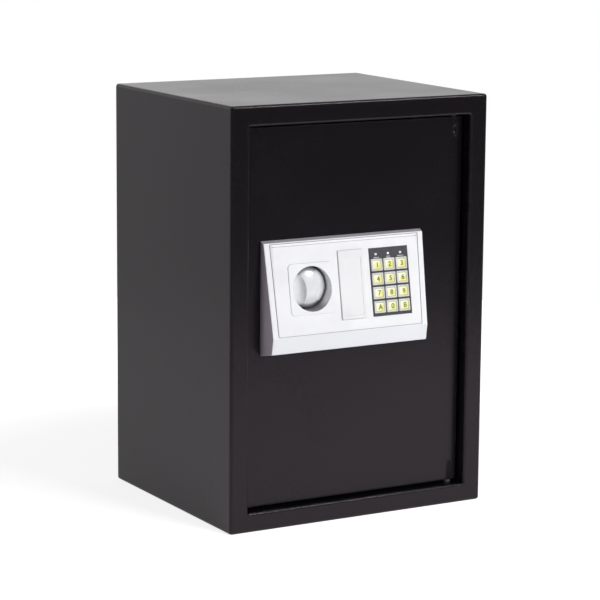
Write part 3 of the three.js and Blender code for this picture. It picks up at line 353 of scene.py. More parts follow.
def whitePlastic(name, look):
    finish = Finish(name, IOR=1.48)
    clouds = finish.cloud(35, 4.0, shift=2.0)
    wiped = finish.step(finish.cloud(14, 5.0, shift=7.0), 0.55, 0.8)
    facing = finish.node("ShaderNodeNewGeometry", output="Normal")
    across, up = finish.split(facing, "XZ")
    colour = finish.mix(finish.step(clouds, 0.3, 0.8), look["colour"], look["shaded"])
    # Painted shade on faces that look up
    upFacingShade = finish.step(up + (clouds - 0.5) * 0.1, 0.55, 0.92) * 0.85
    colour = finish.mix(upFacingShade, colour, look["upFacingShade"])
    # Painted shade on the nose, which faces down
    nose = finish.step(0 - up, 0.06, 0.14) * 0.8
    colour = finish.mix(nose, colour, look["noseShade"])
    # Painted shade on the left side
    left = finish.step(0 - across, 0.85, 0.97) * finish.step(0 - finish.along("X"), *look["leftShadeFrom"])
    colour = finish.mix(left, colour, look["leftSideShade"])
    # Painted shade: darker in grooves and corners, more so towards the panel's top
    more = finish.step(finish.along("Z"), *look["grooveShadeHeights"]) * 0.35
    grooveShade = finish.hollows(look["grooveShadeReach"], 0.2, 0.6) * (more + 0.5)
    finish.give("Base Color", finish.mix(grooveShade, colour, look["grooveShade"]))
    finish.give("Roughness", look["roughness"] + wiped * 0.07)
    finish.relief(finish.cloud(look["grainSize"]), look["grainDepth"])
    return finish.material


silverLook = {
    "colour": tint(236, 237, 239),
    "dull": tint(228, 229, 232),
    "dullSize": 6,
    "hollow": tint(74, 75, 79),        # painted shade in its corners and scoops
    "hollowReach": 9.0,
    "roughness": 0.33,
    "metal": 0.18,
    "lineSize": 0.5,                   # its brushed lines
    "lineDepth": 0.003,
}


def satinSilver(look):
    finish = Finish("satinSilver", Metallic=look["metal"])
    lines = finish.cloud(look["lineSize"], 3.0, stretch=(1, 1, 0.06))
    dull = finish.step(finish.cloud(look["dullSize"], 4.0, shift=3.0), 0.4, 0.75)
    worn = finish.mix(dull * 0.6, look["colour"], look["dull"])
    # Painted shade where the knob's scoops and rim are hemmed in
    hollow = finish.hollows(look["hollowReach"], 0.1, 0.58)
    finish.give("Base Color", finish.mix(hollow * 0.85, worn, look["hollow"]))
    finish.give("Roughness", look["roughness"] + dull * 0.06 + (lines - 0.5) * 0.05)
    finish.relief(lines, look["lineDepth"])
    return finish.material


metalLook = {
    "rubbed": tint(226, 227, 228),     # along its edges
    "rubWidth": 0.5,
    "stainSize": 5,
    "crystalSize": 4.5,                # of a zinc layer
    "lineSize": 0.6,
    "lineDepth": 0.002,
}


# Metal, bare or with a thin layer; its lines run along the axis whose stretch is least
def metal(name, colour, stain, roughness, stretch=(1, 1, 1), crystals=0.0, look=metalLook):
    finish = Finish(name, Metallic=1.0)
    lines = finish.cloud(look["lineSize"], 3.0, stretch=stretch, shift=5.0)
    share = finish.step(finish.cloud(look["stainSize"], 4.0), 0.35, 0.75)
    if crystals:
        share = share * (1 - crystals) + finish.cells(look["crystalSize"]) * crystals
    rub = finish.edges(look["rubWidth"]) * 0.4
    finish.give("Base Color", finish.mix(rub, finish.mix(share, colour, stain), look["rubbed"]))
    finish.give("Roughness", roughness + share * 0.1 + (lines - 0.5) * 0.12)
    finish.relief(lines, look["lineDepth"])
    return finish.material


mouldedLook = {
    "scuffed": tint(150, 150, 150),    # along its edges
    "scuffWidth": 0.4,
    "scuffSize": 3,
    "patchSize": 8,
}


# Moulded plastic or rubber with a fine grain and faint patches
def moulded(name, colour, patch, roughness, grain=0.5, depth=0.006, look=mouldedLook, **plain):
    finish = Finish(name, **plain)
    share = finish.step(finish.cloud(look["patchSize"], 4.0, shift=1.0), 0.35, 0.75)
    scuffs = finish.step(finish.cloud(look["scuffSize"], 4.0, shift=6.0), 0.4, 0.7)
    rub = finish.edges(look["scuffWidth"]) * scuffs * 0.35
    finish.give("Base Color", finish.mix(rub, finish.mix(share, colour, patch), look["scuffed"]))
    finish.give("Roughness", roughness + share * 0.08)
    finish.relief(finish.cloud(grain), depth)
    return finish.material


feltLook = {
    "deep": tint(30, 30, 32),
    "fluff": tint(66, 66, 68),
    "fibre": 0.9,
    "crossFibre": 0.8,
    "depth": 0.25,
}


def feltFinish(look):
    finish = Finish("greyFelt", Roughness=0.95, Sheen_Weight=0.25)
    fibres = finish.cloud(look["fibre"], 5.0, stretch=(1, 0.35, 1))
    cross = finish.cloud(look["crossFibre"], 5.0, stretch=(0.35, 1, 1), shift=3.0)
    fluff = finish.step(fibres * 0.5 + cross * 0.5, 0.35, 0.65)
    finish.give("Base Color", finish.mix(fluff, look["deep"], look["fluff"]))
    finish.relief(fluff, look["depth"])
    return finish.material


boardLook = {
    "tracks": tint(58, 122, 66),
    "between": tint(24, 78, 44),
    "scale": 260.0,                    # of the waves that draw the tracks
    "wander": 6.0,
    "depth": 0.02,
}


def boardFinish(look):
    finish = Finish("circuitBoard", Roughness=0.35, Coat_Weight=0.3)
    waves = finish.node("ShaderNodeTexWave", {"bands_direction": "DIAGONAL"}, {
        "Vector": finish.place, "Scale": look["scale"], "Distortion": look["wander"],
        "Detail": 1.0}, "Fac")
    between = finish.step(abs(waves - 0.5), 0.1, 0.16)
    finish.give("Base Color", finish.mix(between, look["tracks"], look["between"]))
    finish.relief(between, look["depth"])
    return finish.material


cellLook = {
    "steel": tint(198, 199, 201),
    "sleeve": tint(34, 56, 92),
    "stripe": tint(196, 198, 202),
    "scuff": tint(20, 22, 20),
    "scuffSize": 3,
    "bareEnd": 1.4,
    "stripeEnd": 14.0,                 # from the cell's end
    "grainSize": 0.8,
    "grainDepth": 0.004,
}


# A cell's sleeve in two colours, with bare steel at its ends
def cellFinish(look):
    finish = Finish("cellSleeve", Roughness=0.3)
    low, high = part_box("battery_cell_1")
    middle = (low.x + high.x) / 2 / mm
    half = (high.x - low.x) / 2 / mm
    out = abs(finish.along("X") - middle)
    ends = out > half - look["bareEnd"]
    stripe = (out > half - look["stripeEnd"]) * (out < half - look["bareEnd"])
    scuff = finish.step(finish.cloud(look["scuffSize"], 4.0), 0.5, 0.8)
    sleeve = finish.mix(stripe, look["sleeve"], look["stripe"])
    sleeve = finish.mix(scuff * 0.2, sleeve, look["scuff"])
    finish.give("Base Color", finish.mix(ends, sleeve, look["steel"]))
    finish.give("Metallic", ends)
    finish.relief(finish.cloud(look["grainSize"]), look["grainDepth"])
    return finish.material


windowLook = {
    "pale": tint(250, 251, 222),       # at its upper left
    "deep": tint(234, 231, 138),
    "patchSize": 6,
    "grainSize": 0.6,
    "grainDepth": 0.004,
}


# A key's window; its own map runs from 0 to 1 across it and up
def windowFinish(look):
    finish = Finish("yellowWindow", Roughness=0.28, Coat_Weight=0.35)
    across, up = finish.split(finish.node("ShaderNodeUVMap", {"uv_map": "window"}), "XY")
    patch = finish.cloud(look["patchSize"], 3.0, shift=4.0)
    share = finish.step(across * 0.6 - up * 0.5 + patch * 0.9, 0.15, 0.85)
    finish.give("Base Color", finish.mix(share, look["pale"], look["deep"]))
    finish.relief(finish.cloud(look["grainSize"]), look["grainDepth"])
    return finish.material


# The record's material slots
finishes = {
    "body_paint": powderCoat(powderLook),
    "steel": metal("zincSteel", tint(172, 174, 178), tint(150, 153, 160), roughness=0.36,
                   crystals=0.4),
    "satin_chrome": metal("brightSteel", tint(206, 207, 209), tint(188, 190, 194), roughness=0.2,
                          stretch=(0.1, 1, 1)),
    "white_plastic": whitePlastic("whiteMouldedPlastic", whiteLook),
    "dark_plastic": moulded("darkPlastic", tint(77, 76, 82), tint(68, 68, 74), roughness=0.46),
    "key_plastic": moulded("keyRim", tint(226, 227, 222), tint(208, 209, 206), roughness=0.34,
                           Metallic=0.1),
    # Painted light: the lenses glow faintly, though nothing behind them is lit
    "clear_plastic": moulded("glowingLensPlastic", tint(232, 232, 232), tint(220, 222, 224),
                             roughness=0.16, Coat_Weight=0.5, Emission_Color=(1, 1, 1, 1),
                             Emission_Strength=0.08),
    "rubber": moulded("softRubber", tint(36, 36, 38), tint(46, 46, 48), roughness=0.8,
                      grain=0.4, depth=0.02),
    "felt": feltFinish(feltLook),
    "nylon": moulded("nylon", tint(224, 220, 208), tint(208, 203, 188), roughness=0.5),
    "brass": metal("brass", tint(196, 164, 92), tint(168, 136, 70), roughness=0.3),
    "coil_tape": moulded("coilTape", tint(202, 152, 44), tint(184, 132, 34), roughness=0.3,
                         Coat_Weight=0.4),
    "board": boardFinish(boardLook),
    "cell_sleeve": cellFinish(cellLook),
    "red_plastic": moulded("redPlastic", tint(176, 32, 26), tint(156, 26, 22), roughness=0.4),
    "lead_sleeve": moulded("leadSleeve", tint(30, 30, 32), tint(40, 40, 43), roughness=0.5),
}
coverWhite = whitePlastic("whiteCoverPlastic", coverLook)
knobSilver = satinSilver(silverLook)
windowYellow = windowFinish(windowLook)
# A dark plate that paints the shadow in the groove round each key's window
windowGrooveShadow = moulded("windowGrooveShadow", tint(88, 88, 62), tint(70, 70, 54), roughness=0.5)
digitInk = moulded("digitInk", tint(108, 112, 46), tint(128, 126, 54), roughness=0.5)
legendInk = moulded("legendInk", tint(206, 206, 208), tint(190, 190, 194), roughness=0.5)

print("pieces from the frame")

slotOf = {row["node"]: row["material_slot"] for row in frame["record"]["subparts"]}
keyNames = [name for name in nodes if name.startswith("key_") and name != "key_mat"]
plainEdge = 0.15             # what is broken off a sharp edge where no other width is given
keyEdge = 0.1
edgeWidths = {
    "body_shell": 0.0, "back_panel": 0.3, "shelf": 0.3, "shelf_rail_left": 0.3,
    "shelf_rail_right": 0.3, "floor_mat": 0.6, "door_plate": 0.0, "panel_housing": 0.25,
    "keypad_frame": 0.12, "battery_lid": 0.2, "crank": 0.3, "lock_lever": 0.3, "bolt_slide": 0.3,
    "bolt_guide": 0.3, "lock_nut": 0.4, **dict.fromkeys(keyNames, keyEdge),
}
sharpFrom = 32               # degrees between two faces, from where their edge stays sharp


# Puts a finished piece on its body, in place of the named nodes
def seat(piece, body, slot, *replaced):
    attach(piece, body)
    if replaced:
        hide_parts(*replaced)


def newPiece(name, mesh, *materials):
    made = bpy.data.objects.new(name, mesh)
    bpy.context.scene.collection.objects.link(made)
    for material in materials:
        mesh.materials.append(material)
    return made


def meshFrom(name, shape):
    mesh = bpy.data.meshes.new(name)
    shape.to_mesh(mesh)
    shape.free()
    return mesh


# The shape with its modifiers worked in, as a plain mesh
def settle(piece):
    graph = bpy.context.evaluated_depsgraph_get()
    mesh = bpy.data.meshes.new_from_object(piece.evaluated_get(graph))
    piece.modifiers.clear()
    piece.data = mesh


# Round faces smooth and flat ones flat, with the sharp edges kept
def smoothBy(piece, degrees):
    piece.data.shade_smooth()
    piece.data.set_sharp_from_angle(angle=math.radians(degrees))
    weigh = piece.modifiers.new("flat", "WEIGHTED_NORMAL")
    weigh.keep_sharp = True
    weigh.weight = 90
    settle(piece)


def breakEdges(piece, width, segments, sharp):
    bevel = piece.modifiers.new("edge", "BEVEL")
    bevel.width = width * mm
    bevel.segments = segments
    bevel.limit_method = "ANGLE"
    bevel.angle_limit = math.radians(sharp)
    bevel.use_clamp_overlap = True
    settle(piece)


# A merged copy of a node with its flat faces whole again
def wholeMesh(name):
    shape = bmesh.new()
    shape.from_mesh(nodes[name].data)
    bmesh.ops.remove_doubles(shape, verts=shape.verts, dist=0.002 * mm)
    bmesh.ops.dissolve_limit(shape, angle_limit=math.radians(0.3), verts=shape.verts,
                             edges=shape.edges)
    return meshFrom(name, shape)


# A node's fine copy: edges broken by a small radius and round faces smooth
def finer(name, edge, material):
    piece = newPiece(f"{name}_fine", wholeMesh(name), material)
    if edge:
        breakEdges(piece, edge, 2, sharpFrom)
    smoothBy(piece, sharpFrom)
    seat(piece, nodes[name]["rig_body"], slotOf[name], name)


for name in nodes:
    if name != "knob":
        own = coverWhite if name == "centre_cover" else finishes[slotOf[name]]
        finer(name, edgeWidths.get(name, plainEdge), own)

# The lock panel's sloping face: x along it, y into it and z up the slope
intoFace = Vector(joints["key_1_press"]["axis"])
upFace = Vector((1, 0, 0)).cross(intoFace)
faceTurn = Matrix((Vector((1, 0, 0)), intoFace, upFace)).transposed().to_4x4()
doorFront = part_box("door_plate")[0].y
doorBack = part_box("door_plate")[1].y


def middleOf(name):
    low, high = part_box(name)
    return (low + high) / 2


# The least place of a node along a direction
def least(name, way):
    return min(corner.co.dot(way) for corner in nodes[name].data.vertices)


print("knob")

knobLook = {
    "radius": 24,
    "back": 3.2,              # from the door's front
    "chamfer": 0.8,
    "rim": 5,
    "top": 14.5,
    "ridge": 5.5,             # half the ridge's width at its waist
    "flare": 4.4,             # how far each side has spread at the knob's edge
    "scoop": 9,
    "scoopFloor": 5.5,
    "scoopReach": 1.1,        # half its length, in radii of the knob
    "lean": 8,                # degrees
    "edge": 0.3,
    "sides": 144,
    "rings": 28,
    "scoopSteps": 24,
    "scoopStations": 16,
}


def spun(name, profile, sides):
    shape = bmesh.new()
    points = [shape.verts.new((radius * mm, out * mm, 0)) for radius, out in profile]
    lines = [shape.edges.new(pair) for pair in zip(points, points[1:])]
    bmesh.ops.spin(shape, geom=points + lines, cent=(0, 0, 0), axis=(0, 1, 0),
                   angle=math.tau, steps=sides)
    bmesh.ops.remove_doubles(shape, verts=shape.verts, dist=0.001 * mm)
    bmesh.ops.recalc_face_normals(shape, faces=shape.faces)
    return meshFrom(name, shape)


# A closed skin over outlines of points that follow one another
def skinned(name, outlines):
    shape = bmesh.new()
    rings = [[shape.verts.new([part * mm for part in point]) for point in outline]
             for outline in outlines]
    for one, two in zip(rings, rings[1:]):
        for place in range(len(one)):
            shape.faces.new((one[place - 1], one[place], two[place], two[place - 1]))
    shape.faces.new(rings[0])
    shape.faces.new(rings[-1])
    bmesh.ops.recalc_face_normals(shape, faces=shape.faces)
    return meshFrom(name, shape)


def carve(piece, cutter):
    tool = newPiece("cutter", cutter)
    knife = piece.modifiers.new("carve", "BOOLEAN")
    knife.operation = "DIFFERENCE"
    knife.solver = "EXACT"
    knife.object = tool
    settle(piece)
    bpy.data.objects.remove(tool)


# What a finger's scoop takes away beside the ridge, whose sides are hollow
def scoopShape(look, side):
    clear, floor, scoop = 2 * look["top"], look["scoopFloor"], look["scoop"]
    arc = []
    for step in range(look["scoopSteps"] + 1):
        turn = math.pi / 2 * step / look["scoopSteps"]
        arc.append((look["ridge"] + scoop * (1 - math.cos(turn)),
                    floor + scoop * (1 - math.sin(turn))))
    outlines = []
    for station in range(-look["scoopStations"], look["scoopStations"] + 1):
        along = look["scoopReach"] * station / look["scoopStations"]
        spread = look["flare"] * along ** 2
        section = [(look["ridge"] + spread, clear)]
        section += [(out + spread, depth) for out, depth in arc]
        section += [(2 * look["radius"], floor), (2 * look["radius"], clear)]
        outlines.append([(side * out, -depth, along * look["radius"]) for out, depth in section])
    return skinned("scoop", outlines)


# A low dome with two scoops, which leave the ridge between them
def makeKnob(look):
    radius, back, top, chamfer = look["radius"], look["back"], look["top"], look["chamfer"]
    dome = top - look["rim"]
    ball = (radius ** 2 + dome ** 2) / (2 * dome)
    spread = math.asin(radius / ball)
    profile = [(0, -back), (radius - chamfer, -back), (radius, -back - chamfer)]
    for ring in range(look["rings"] + 1):
        turn = spread * (1 - ring / look["rings"])
        profile.append((ball * math.sin(turn), ball - top - ball * math.cos(turn)))
    piece = newPiece("knob_fine", spun("knob", profile, look["sides"]), knobSilver)
    for side in (-1, 1):
        carve(piece, scoopShape(look, side))
    breakEdges(piece, look["edge"], 3, 24)
    hub = Vector(joints["knob_turn"]["pos_m"])
    hub.y = doorFront
    piece.data.transform(Matrix.Translation(hub)
                         @ Matrix.Rotation(math.radians(-look["lean"]), 4, "Y"))
    smoothBy(piece, 20)
    seat(piece, "knob", "satin_chrome", "knob")


makeKnob(knobLook)

print("keys")

keyLook = {
    "width": 11.1,            # the window
    "height": 10.2,
    "corner": 0.7,
    "rise": 0.4,
    "crown": 0.8,             # how far its top face is drawn in
    "seat": 0.42,             # dark seat that shows round it, a painted shadow of the groove there
    "seatRise": 0.06,
    "windowFloor": 0.5,       # below the front of the key
    "digit": 8.2,
    "digitBold": 0.16,
    "digitRise": 0.04,
    "digitShift": (0.5, -0.3),
}


# A tree that makes one window: a rounded plate with a sloping rim
def windowTree():
    tree = ShapeTree("keyWindow", ("Width", "Height", "Corner", "Rise", "Crown"))
    given = tree.given
    outline = tree.node("GeometryNodeCurvePrimitiveQuadrilateral", {"mode": "RECTANGLE"},
                        {"Width": given["Width"], "Height": given["Height"]})
    soft = tree.node("GeometryNodeFilletCurve", {"mode": "POLY"},
                     {"Curve": outline, "Count": 5, "Radius": given["Corner"]})
    plate = tree.node("GeometryNodeFillCurve", {"mode": "NGONS"}, {"Curve": soft})
    body = tree.node("GeometryNodeExtrudeMesh", {"mode": "FACES"}, {
        "Mesh": plate, "Offset": tree.vector(Z=given["Rise"]), "Offset Scale": 1.0,
        "Individual": False})
    drawn = tree.node("GeometryNodeScaleElements", {"domain": "FACE"}, {
        "Geometry": body, "Selection": body.other("Top"),
        "Scale": 1 - given["Crown"] / given["Width"]})
    return tree.close(drawn)


# Runs a tree on a new piece with its inputs, and keeps the result as a plain mesh
def grow(name, group, values):
    piece = newPiece(name, bpy.data.meshes.new(name))
    modifier = piece.modifiers.new("grow", "NODES")
    modifier.node_group = group
    for item in group.interface.items_tree:
        if item.in_out == "INPUT":
            modifier[item.identifier] = values[item.name]
    settle(piece)
    return piece


# A raised letter as a mesh, flat on x and y
def digitMesh(letter, look):
    text = bpy.data.curves.new("digit", "FONT")
    text.body = letter
    text.size = look["digit"] * mm
    text.extrude = look["digitRise"] * mm
    text.offset = look["digitBold"] * mm
    text.align_x = "CENTER"
    text.align_y = "CENTER"
    text.resolution_u = 6
    made = bpy.data.objects.new("digit", text)
    bpy.context.scene.collection.objects.link(made)
    mesh = bpy.data.meshes.new_from_object(made)
    bpy.data.objects.remove(made)
    right, up = look["digitShift"]
    mesh.transform(Matrix.Translation((right * mm, up * mm, look["rise"] * mm)))
    return mesh


# Several meshes as one piece: each has its own material, or all have the only one
def joined(name, parts, *materials):
    shape = bmesh.new()
    for place, part in enumerate(parts):
        first = len(shape.faces)
        shape.from_mesh(part)
        shape.faces.ensure_lookup_table()
        for face in shape.faces[first:]:
            face.material_index = min(place, len(materials) - 1)
    return newPiece(name, meshFrom(name, shape), *materials)


# A map over a flat shape, from 0 to 1 across and up
def mapFlat(mesh, name, width, height):
    corners = mesh.uv_layers.new(name=name).data
    for loop in mesh.loops:
        place = mesh.vertices[loop.vertex_index].co
        corners[loop.index].uv = (place.x / width + 0.5, place.y / height + 0.5)


# The middle of a key's front, sunk by a depth
def keyFront(name, depth):
    middle = middleOf(name)
    return middle + intoFace * (least(name, intoFace) - middle.dot(intoFace) + depth * mm)


# On each key a yellow window with its digit, in a dark seat that paints the shadow of the groove round it
def makeWindows(look):
    width, height, tree = look["width"] * mm, look["height"] * mm, windowTree()
    plate = grow("windowShape", tree, {
        "Width": width, "Height": height, "Corner": look["corner"] * mm,
        "Rise": look["rise"] * mm, "Crown": look["crown"] * mm, "Finish": windowYellow})
    dark = grow("grooveShadowShape", tree, {
        "Width": width + 2 * look["seat"] * mm, "Height": height + 2 * look["seat"] * mm,
        "Corner": look["corner"] * mm, "Rise": look["seatRise"] * mm, "Crown": 0.0,
        "Finish": windowGrooveShadow})
    mapFlat(plate.data, "window", width, height)
    upright = Matrix.Rotation(math.radians(90), 4, "X")
    for name in keyNames:
        letter = name.removeprefix("key_").upper()
        piece = joined(f"{name}_window", [plate.data, dark.data, digitMesh(letter, look)],
                       windowYellow, windowGrooveShadow, digitInk)
        floor = keyFront(name, look["windowFloor"])
        piece.data.transform(Matrix.Translation(floor) @ faceTurn @ upright)
        seat(piece, nodes[name]["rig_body"], "key_plastic")
    for shape in (plate, dark):
        bpy.data.objects.remove(shape)


makeWindows(keyLook)

print("keypad marks, plate line and cover gap")

markLook = {
    # along, up from the middle lamp, width and height
    "bars": [(-16.6, -3.9, 7.4, 0.9), (0.0, -3.4, 5.4, 0.8), (-1.4, -5.0, 2.2, 0.8),
             (1.6, -5.0, 2.2, 0.8), (17.0, -3.7, 8.6, 0.9)],
    "rise": 0.05,
    "sink": 0.1,
}


# A box in the frame of the sloping face, round a middle
def faceBox(name, middle, size):
    shape = bmesh.new()
    bmesh.ops.create_cube(shape, size=1.0)
    shape.transform(Matrix.Translation(middle) @ faceTurn @ Matrix.Diagonal((*size, 1)))
    return meshFrom(name, shape)


# Printed bars under the three lamps
def makeMarks(look):
    lamps = middleOf("indicator_lens")
    front = least("keypad_frame", intoFace) - lamps.dot(intoFace)
    depth = look["rise"] + look["sink"]
    bars = []
    for along, up, width, height in look["bars"]:
        middle = lamps + Vector((along * mm, 0, 0)) + upFace * up * mm
        middle += intoFace * (front + (depth / 2 - look["rise"]) * mm)
        bars.append(faceBox("bar", middle, (width * mm, depth * mm, height * mm)))
    seat(joined("keypad_marks", bars, legendInk), nodes["keypad_frame"]["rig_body"], "white_plastic")


makeMarks(markLook)

lineLook = {
    "inset": 10.6,            # from the panel's sides
    "top": 4.6,               # down the slope from the plate's top edge
    "foot": 106.4,
    "width": 0.55,
    "depth": 0.5,
    "plateRise": 0.7,
    "topDepth": 6,            # how far the slope's top edge stands off the door
    "topDrop": 2.5,           # and how far below the panel's top it is
}
gapLook = {
    "width": 0.4,
    "depth": 0.8,
    "short": 5.0,             # of the cover's right side
}


# The middle of the face plate's top edge
def plateTop(look):
    middle, high = middleOf("panel_housing"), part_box("panel_housing")[1]
    edge = Vector((middle.x, doorFront - look["topDepth"] * mm, high.z - look["topDrop"] * mm))
    return edge - intoFace * look["plateRise"] * mm


# The fine line where the face plate's bevel meets its flat
def makePlateLine(look):
    low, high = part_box("panel_housing")
    half = (high.x - low.x) / 2 - look["inset"] * mm
    width, depth = look["width"] * mm, 2 * look["depth"] * mm
    length = (look["foot"] - look["top"]) * mm
    top = plateTop(look) - upFace * look["top"] * mm
    piece = bpy.data.objects["panel_housing_fine"]
    for side in (-1, 1):
        place = top + Vector((side * half, 0, 0)) - upFace * length / 2
        carve(piece, faceBox("line", place, (width, depth, length + width)))
    carve(piece, faceBox("line", top, (2 * half - width, depth, width)))
    smoothBy(piece, sharpFrom)


# The dark gap along the foot of the centre cover
def makeCoverGap(look):
    low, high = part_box("centre_cover")
    length = high.x - low.x - look["short"] * mm
    foot = least("centre_cover", upFace) - look["width"] * mm / 2
    face = plateTop(lineLook).dot(intoFace)
    place = Vector((low.x + length / 2, 0, 0)) + intoFace * face + upFace * foot
    piece = bpy.data.objects["panel_housing_fine"]
    carve(piece, faceBox("gap", place, (length, 2 * look["depth"] * mm, look["width"] * mm)))
    smoothBy(piece, sharpFrom)


makePlateLine(lineLook)
makeCoverGap(gapLook)

print("screws and welds")

screwLook = {
    "squash": 0.62,           # the head's height to its radius
    # the head's and the shank's radius, and the recess: its height, reach, width and depth
    "sizes": {"Head": 3.3, "Shank": 1.05, "Rise": 1.9, "Cross": 3.6, "Slit": 0.75, "Sink": 1.1},
}
panelScrews = {
    "middle": 271.1,          # over the floor
    "across": 192,
    "up": 110,
    "length": 8.6,
}
caseScrews = {
    "insetAcross": 20,        # from the inner cover's ends
    "insetUp": 5.5,
    "flange": 1.5,
    "length": 4.6,
}


# A tree that makes four pan-head screws at the corners of an upright rectangle
def screwTree(look):
    tree = ShapeTree("fourScrews", (*look["sizes"], "Length", "Across", "Up"))
    given = tree.given
    wide, tall = given["Head"] * 3, given["Head"] * 2
    ball = tree.node("GeometryNodeMeshUVSphere", {}, {
        "Segments": 28, "Rings": 16, "Radius": given["Head"]})
    half = tree.node("GeometryNodeMeshCube", {}, {"Size": tree.vector(X=wide, Y=wide, Z=tall)})
    dome = tree.node("GeometryNodeMeshBoolean", {"operation": "INTERSECT"}, {
        1: [tree.raised(ball, 0.0, (1, 1, look["squash"])), tree.raised(half, given["Head"])]})
    shank = tree.node("GeometryNodeMeshCylinder", {}, {
        "Vertices": 16, "Radius": given["Shank"], "Depth": given["Length"]})
    body = tree.node("GeometryNodeMeshBoolean", {"operation": "UNION"},
                     {1: [dome, tree.raised(shank, given["Length"] * -0.45)]})
    slits = []
    for first, second in (("Cross", "Slit"), ("Slit", "Cross")):
        size = tree.vector(X=given[first], Y=given[second], Z=given["Sink"] * 2)
        slit = tree.node("GeometryNodeMeshCube", {}, {"Size": size})
        slits.append(tree.raised(slit, given["Rise"]))
    screw = tree.node("GeometryNodeMeshBoolean", {"operation": "DIFFERENCE"}, {0: body, 1: slits})
    grid = tree.node("GeometryNodeMeshGrid", {}, {
        "Size X": given["Across"], "Size Y": given["Up"], "Vertices X": 2, "Vertices Y": 2})
    return tree.close(tree.onPoints(grid, screw, Rotation=tree.varied((0, 0, 0), (0, 0, 1.5), 4)))


# Four screws on the door with their heads towards +Y, round a middle
def makeScrews(name, group, middle, across, up, length):
    sizes = {size: value * mm for size, value in screwLook["sizes"].items()}
    piece = grow(name, group, {**sizes, "Across": across, "Up": up, "Length": length,
                               "Finish": finishes["satin_chrome"]})
    piece.data.transform(Matrix.Translation(middle) @ Matrix.Rotation(math.radians(-90), 4, "X"))
    smoothBy(piece, 40)
    seat(piece, "door", "steel")


def makePanelScrews(look, group):
    middle = Vector((middleOf("panel_housing").x, doorBack, look["middle"] * mm))
    makeScrews("panel_screws", group, middle, look["across"] * mm, look["up"] * mm,
               look["length"] * mm)


def makeCaseScrews(look, group):
    low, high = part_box("inner_case")
    middle = middleOf("inner_case")
    middle.y = low.y + look["flange"] * mm
    across = high.x - low.x - 2 * look["insetAcross"] * mm
    up = high.z - low.z - 2 * look["insetUp"] * mm
    makeScrews("case_screws", group, middle, across, up, look["length"] * mm)


screwGroup = screwTree(screwLook)
makePanelScrews(panelScrews, screwGroup)
makeCaseScrews(caseScrews, screwGroup)

weldLook = {
    "beads": 7,               # ripples in one tack
    "pitch": 1.9,
    "radius": 2.2,
    "inset": 0.9,             # of its middle, from the corner
    "level": (3, 95),         # tacks along the top and the foot, and their spacing
    "upright": (4, 105),      # and along the sides
}


# A tree that makes a row of tacks, each a line of flattened beads
def weldTree():
    tree = ShapeTree("tackWelds", ("Radius", "Pitch", "Spacing"), ("Beads", "Tacks", "Seed"))
    given = tree.given

    def row(count, step):
        start = tree.vector(X=step * (count - 1) * -0.5)
        return tree.node("GeometryNodeMeshLine", {"mode": "OFFSET"},
                         {"Count": count, "Start Location": start, "Offset": tree.vector(X=step)})

    bead = tree.node("GeometryNodeMeshUVSphere", {}, {
        "Segments": 12, "Rings": 8, "Radius": given["Radius"]})
    tacks = tree.onPoints(row(given["Tacks"], given["Spacing"]), row(given["Beads"], given["Pitch"]))
    points = tree.node("GeometryNodeRealizeInstances", {}, {"Geometry": tacks})
    turns = tree.varied((-0.3,) * 3, (0.3,) * 3, given["Seed"])
    scales = tree.varied((0.7, 0.75, 0.75), (0.95, 1.0, 1.0), given["Seed"] + 1)
    return tree.close(tree.onPoints(points, bead, Rotation=turns, Scale=scales))


# Tacks along the four inside corners between the back panel and the wrapped sheet
def makeWelds(look):
    low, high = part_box("back_panel")
    middle = middleOf("back_panel")
    group, paint = weldTree(), finishes["body_paint"]
    sides = [("level", 0, middle.x, low.z), ("level", 0, middle.x, high.z),
             ("upright", 90, low.x, middle.z), ("upright", 90, high.x, middle.z)]
    rows = []
    for seed, (kind, turn, x, z) in enumerate(sides, 1):
        tacks, spacing = look[kind]
        row = grow("row", group, {
            "Radius": look["radius"] * mm, "Pitch": look["pitch"] * mm, "Spacing": spacing * mm,
            "Beads": look["beads"], "Tacks": tacks, "Seed": seed, "Finish": paint})
        inward = (middle - Vector((x, middle.y, z))).normalized() - Vector((0, 1, 0))
        place = Vector((x, low.y, z)) + inward * look["inset"] * mm
        row.data.transform(Matrix.Translation(place)
                           @ Matrix.Rotation(math.radians(-turn), 4, "Y"))
        rows.append(row)
    piece = joined("back_welds", [row.data for row in rows], paint)
    piece.data.shade_smooth()
    for row in rows:
        bpy.data.objects.remove(row)
    seat(piece, nodes["back_panel"]["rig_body"], "body_paint")


makeWelds(weldLook)

print("light and floor")

# Places and sizes in metres; the strip is what gloss alone sees, and it doesn't see the others
lampLook = {
    "softbox": {"place": (0.9, -2.65, 1.0), "size": (1.2, 1.2), "watts": 70.0, "glossOnly": False},
    "strip": {"place": (0.95, -1.3, 1.72), "size": (0.75, 0.1), "watts": 16.0, "glossOnly": True},
    "side": {"place": (-2.4, -0.9, 0.4), "size": (0.9, 0.9), "watts": 7.0, "glossOnly": False},
}
lampAim = Vector((0, -0.1, 0.28))


def makeLamp(name, look):
    data = bpy.data.lights.new(name, "AREA")
    data.energy = look["watts"]
    data.shape = "RECTANGLE"
    data.size, data.size_y = look["size"]
    lamp = bpy.data.objects.new(name, data)
    bpy.context.scene.collection.objects.link(lamp)
    lamp.visible_glossy = look["glossOnly"]
    lamp.visible_diffuse = not look["glossOnly"]
    turn = (lampAim - Vector(look["place"])).to_track_quat("-Z", "Y").to_matrix().to_4x4()
    lamp.matrix_world = Matrix.Translation(look["place"]) @ turn


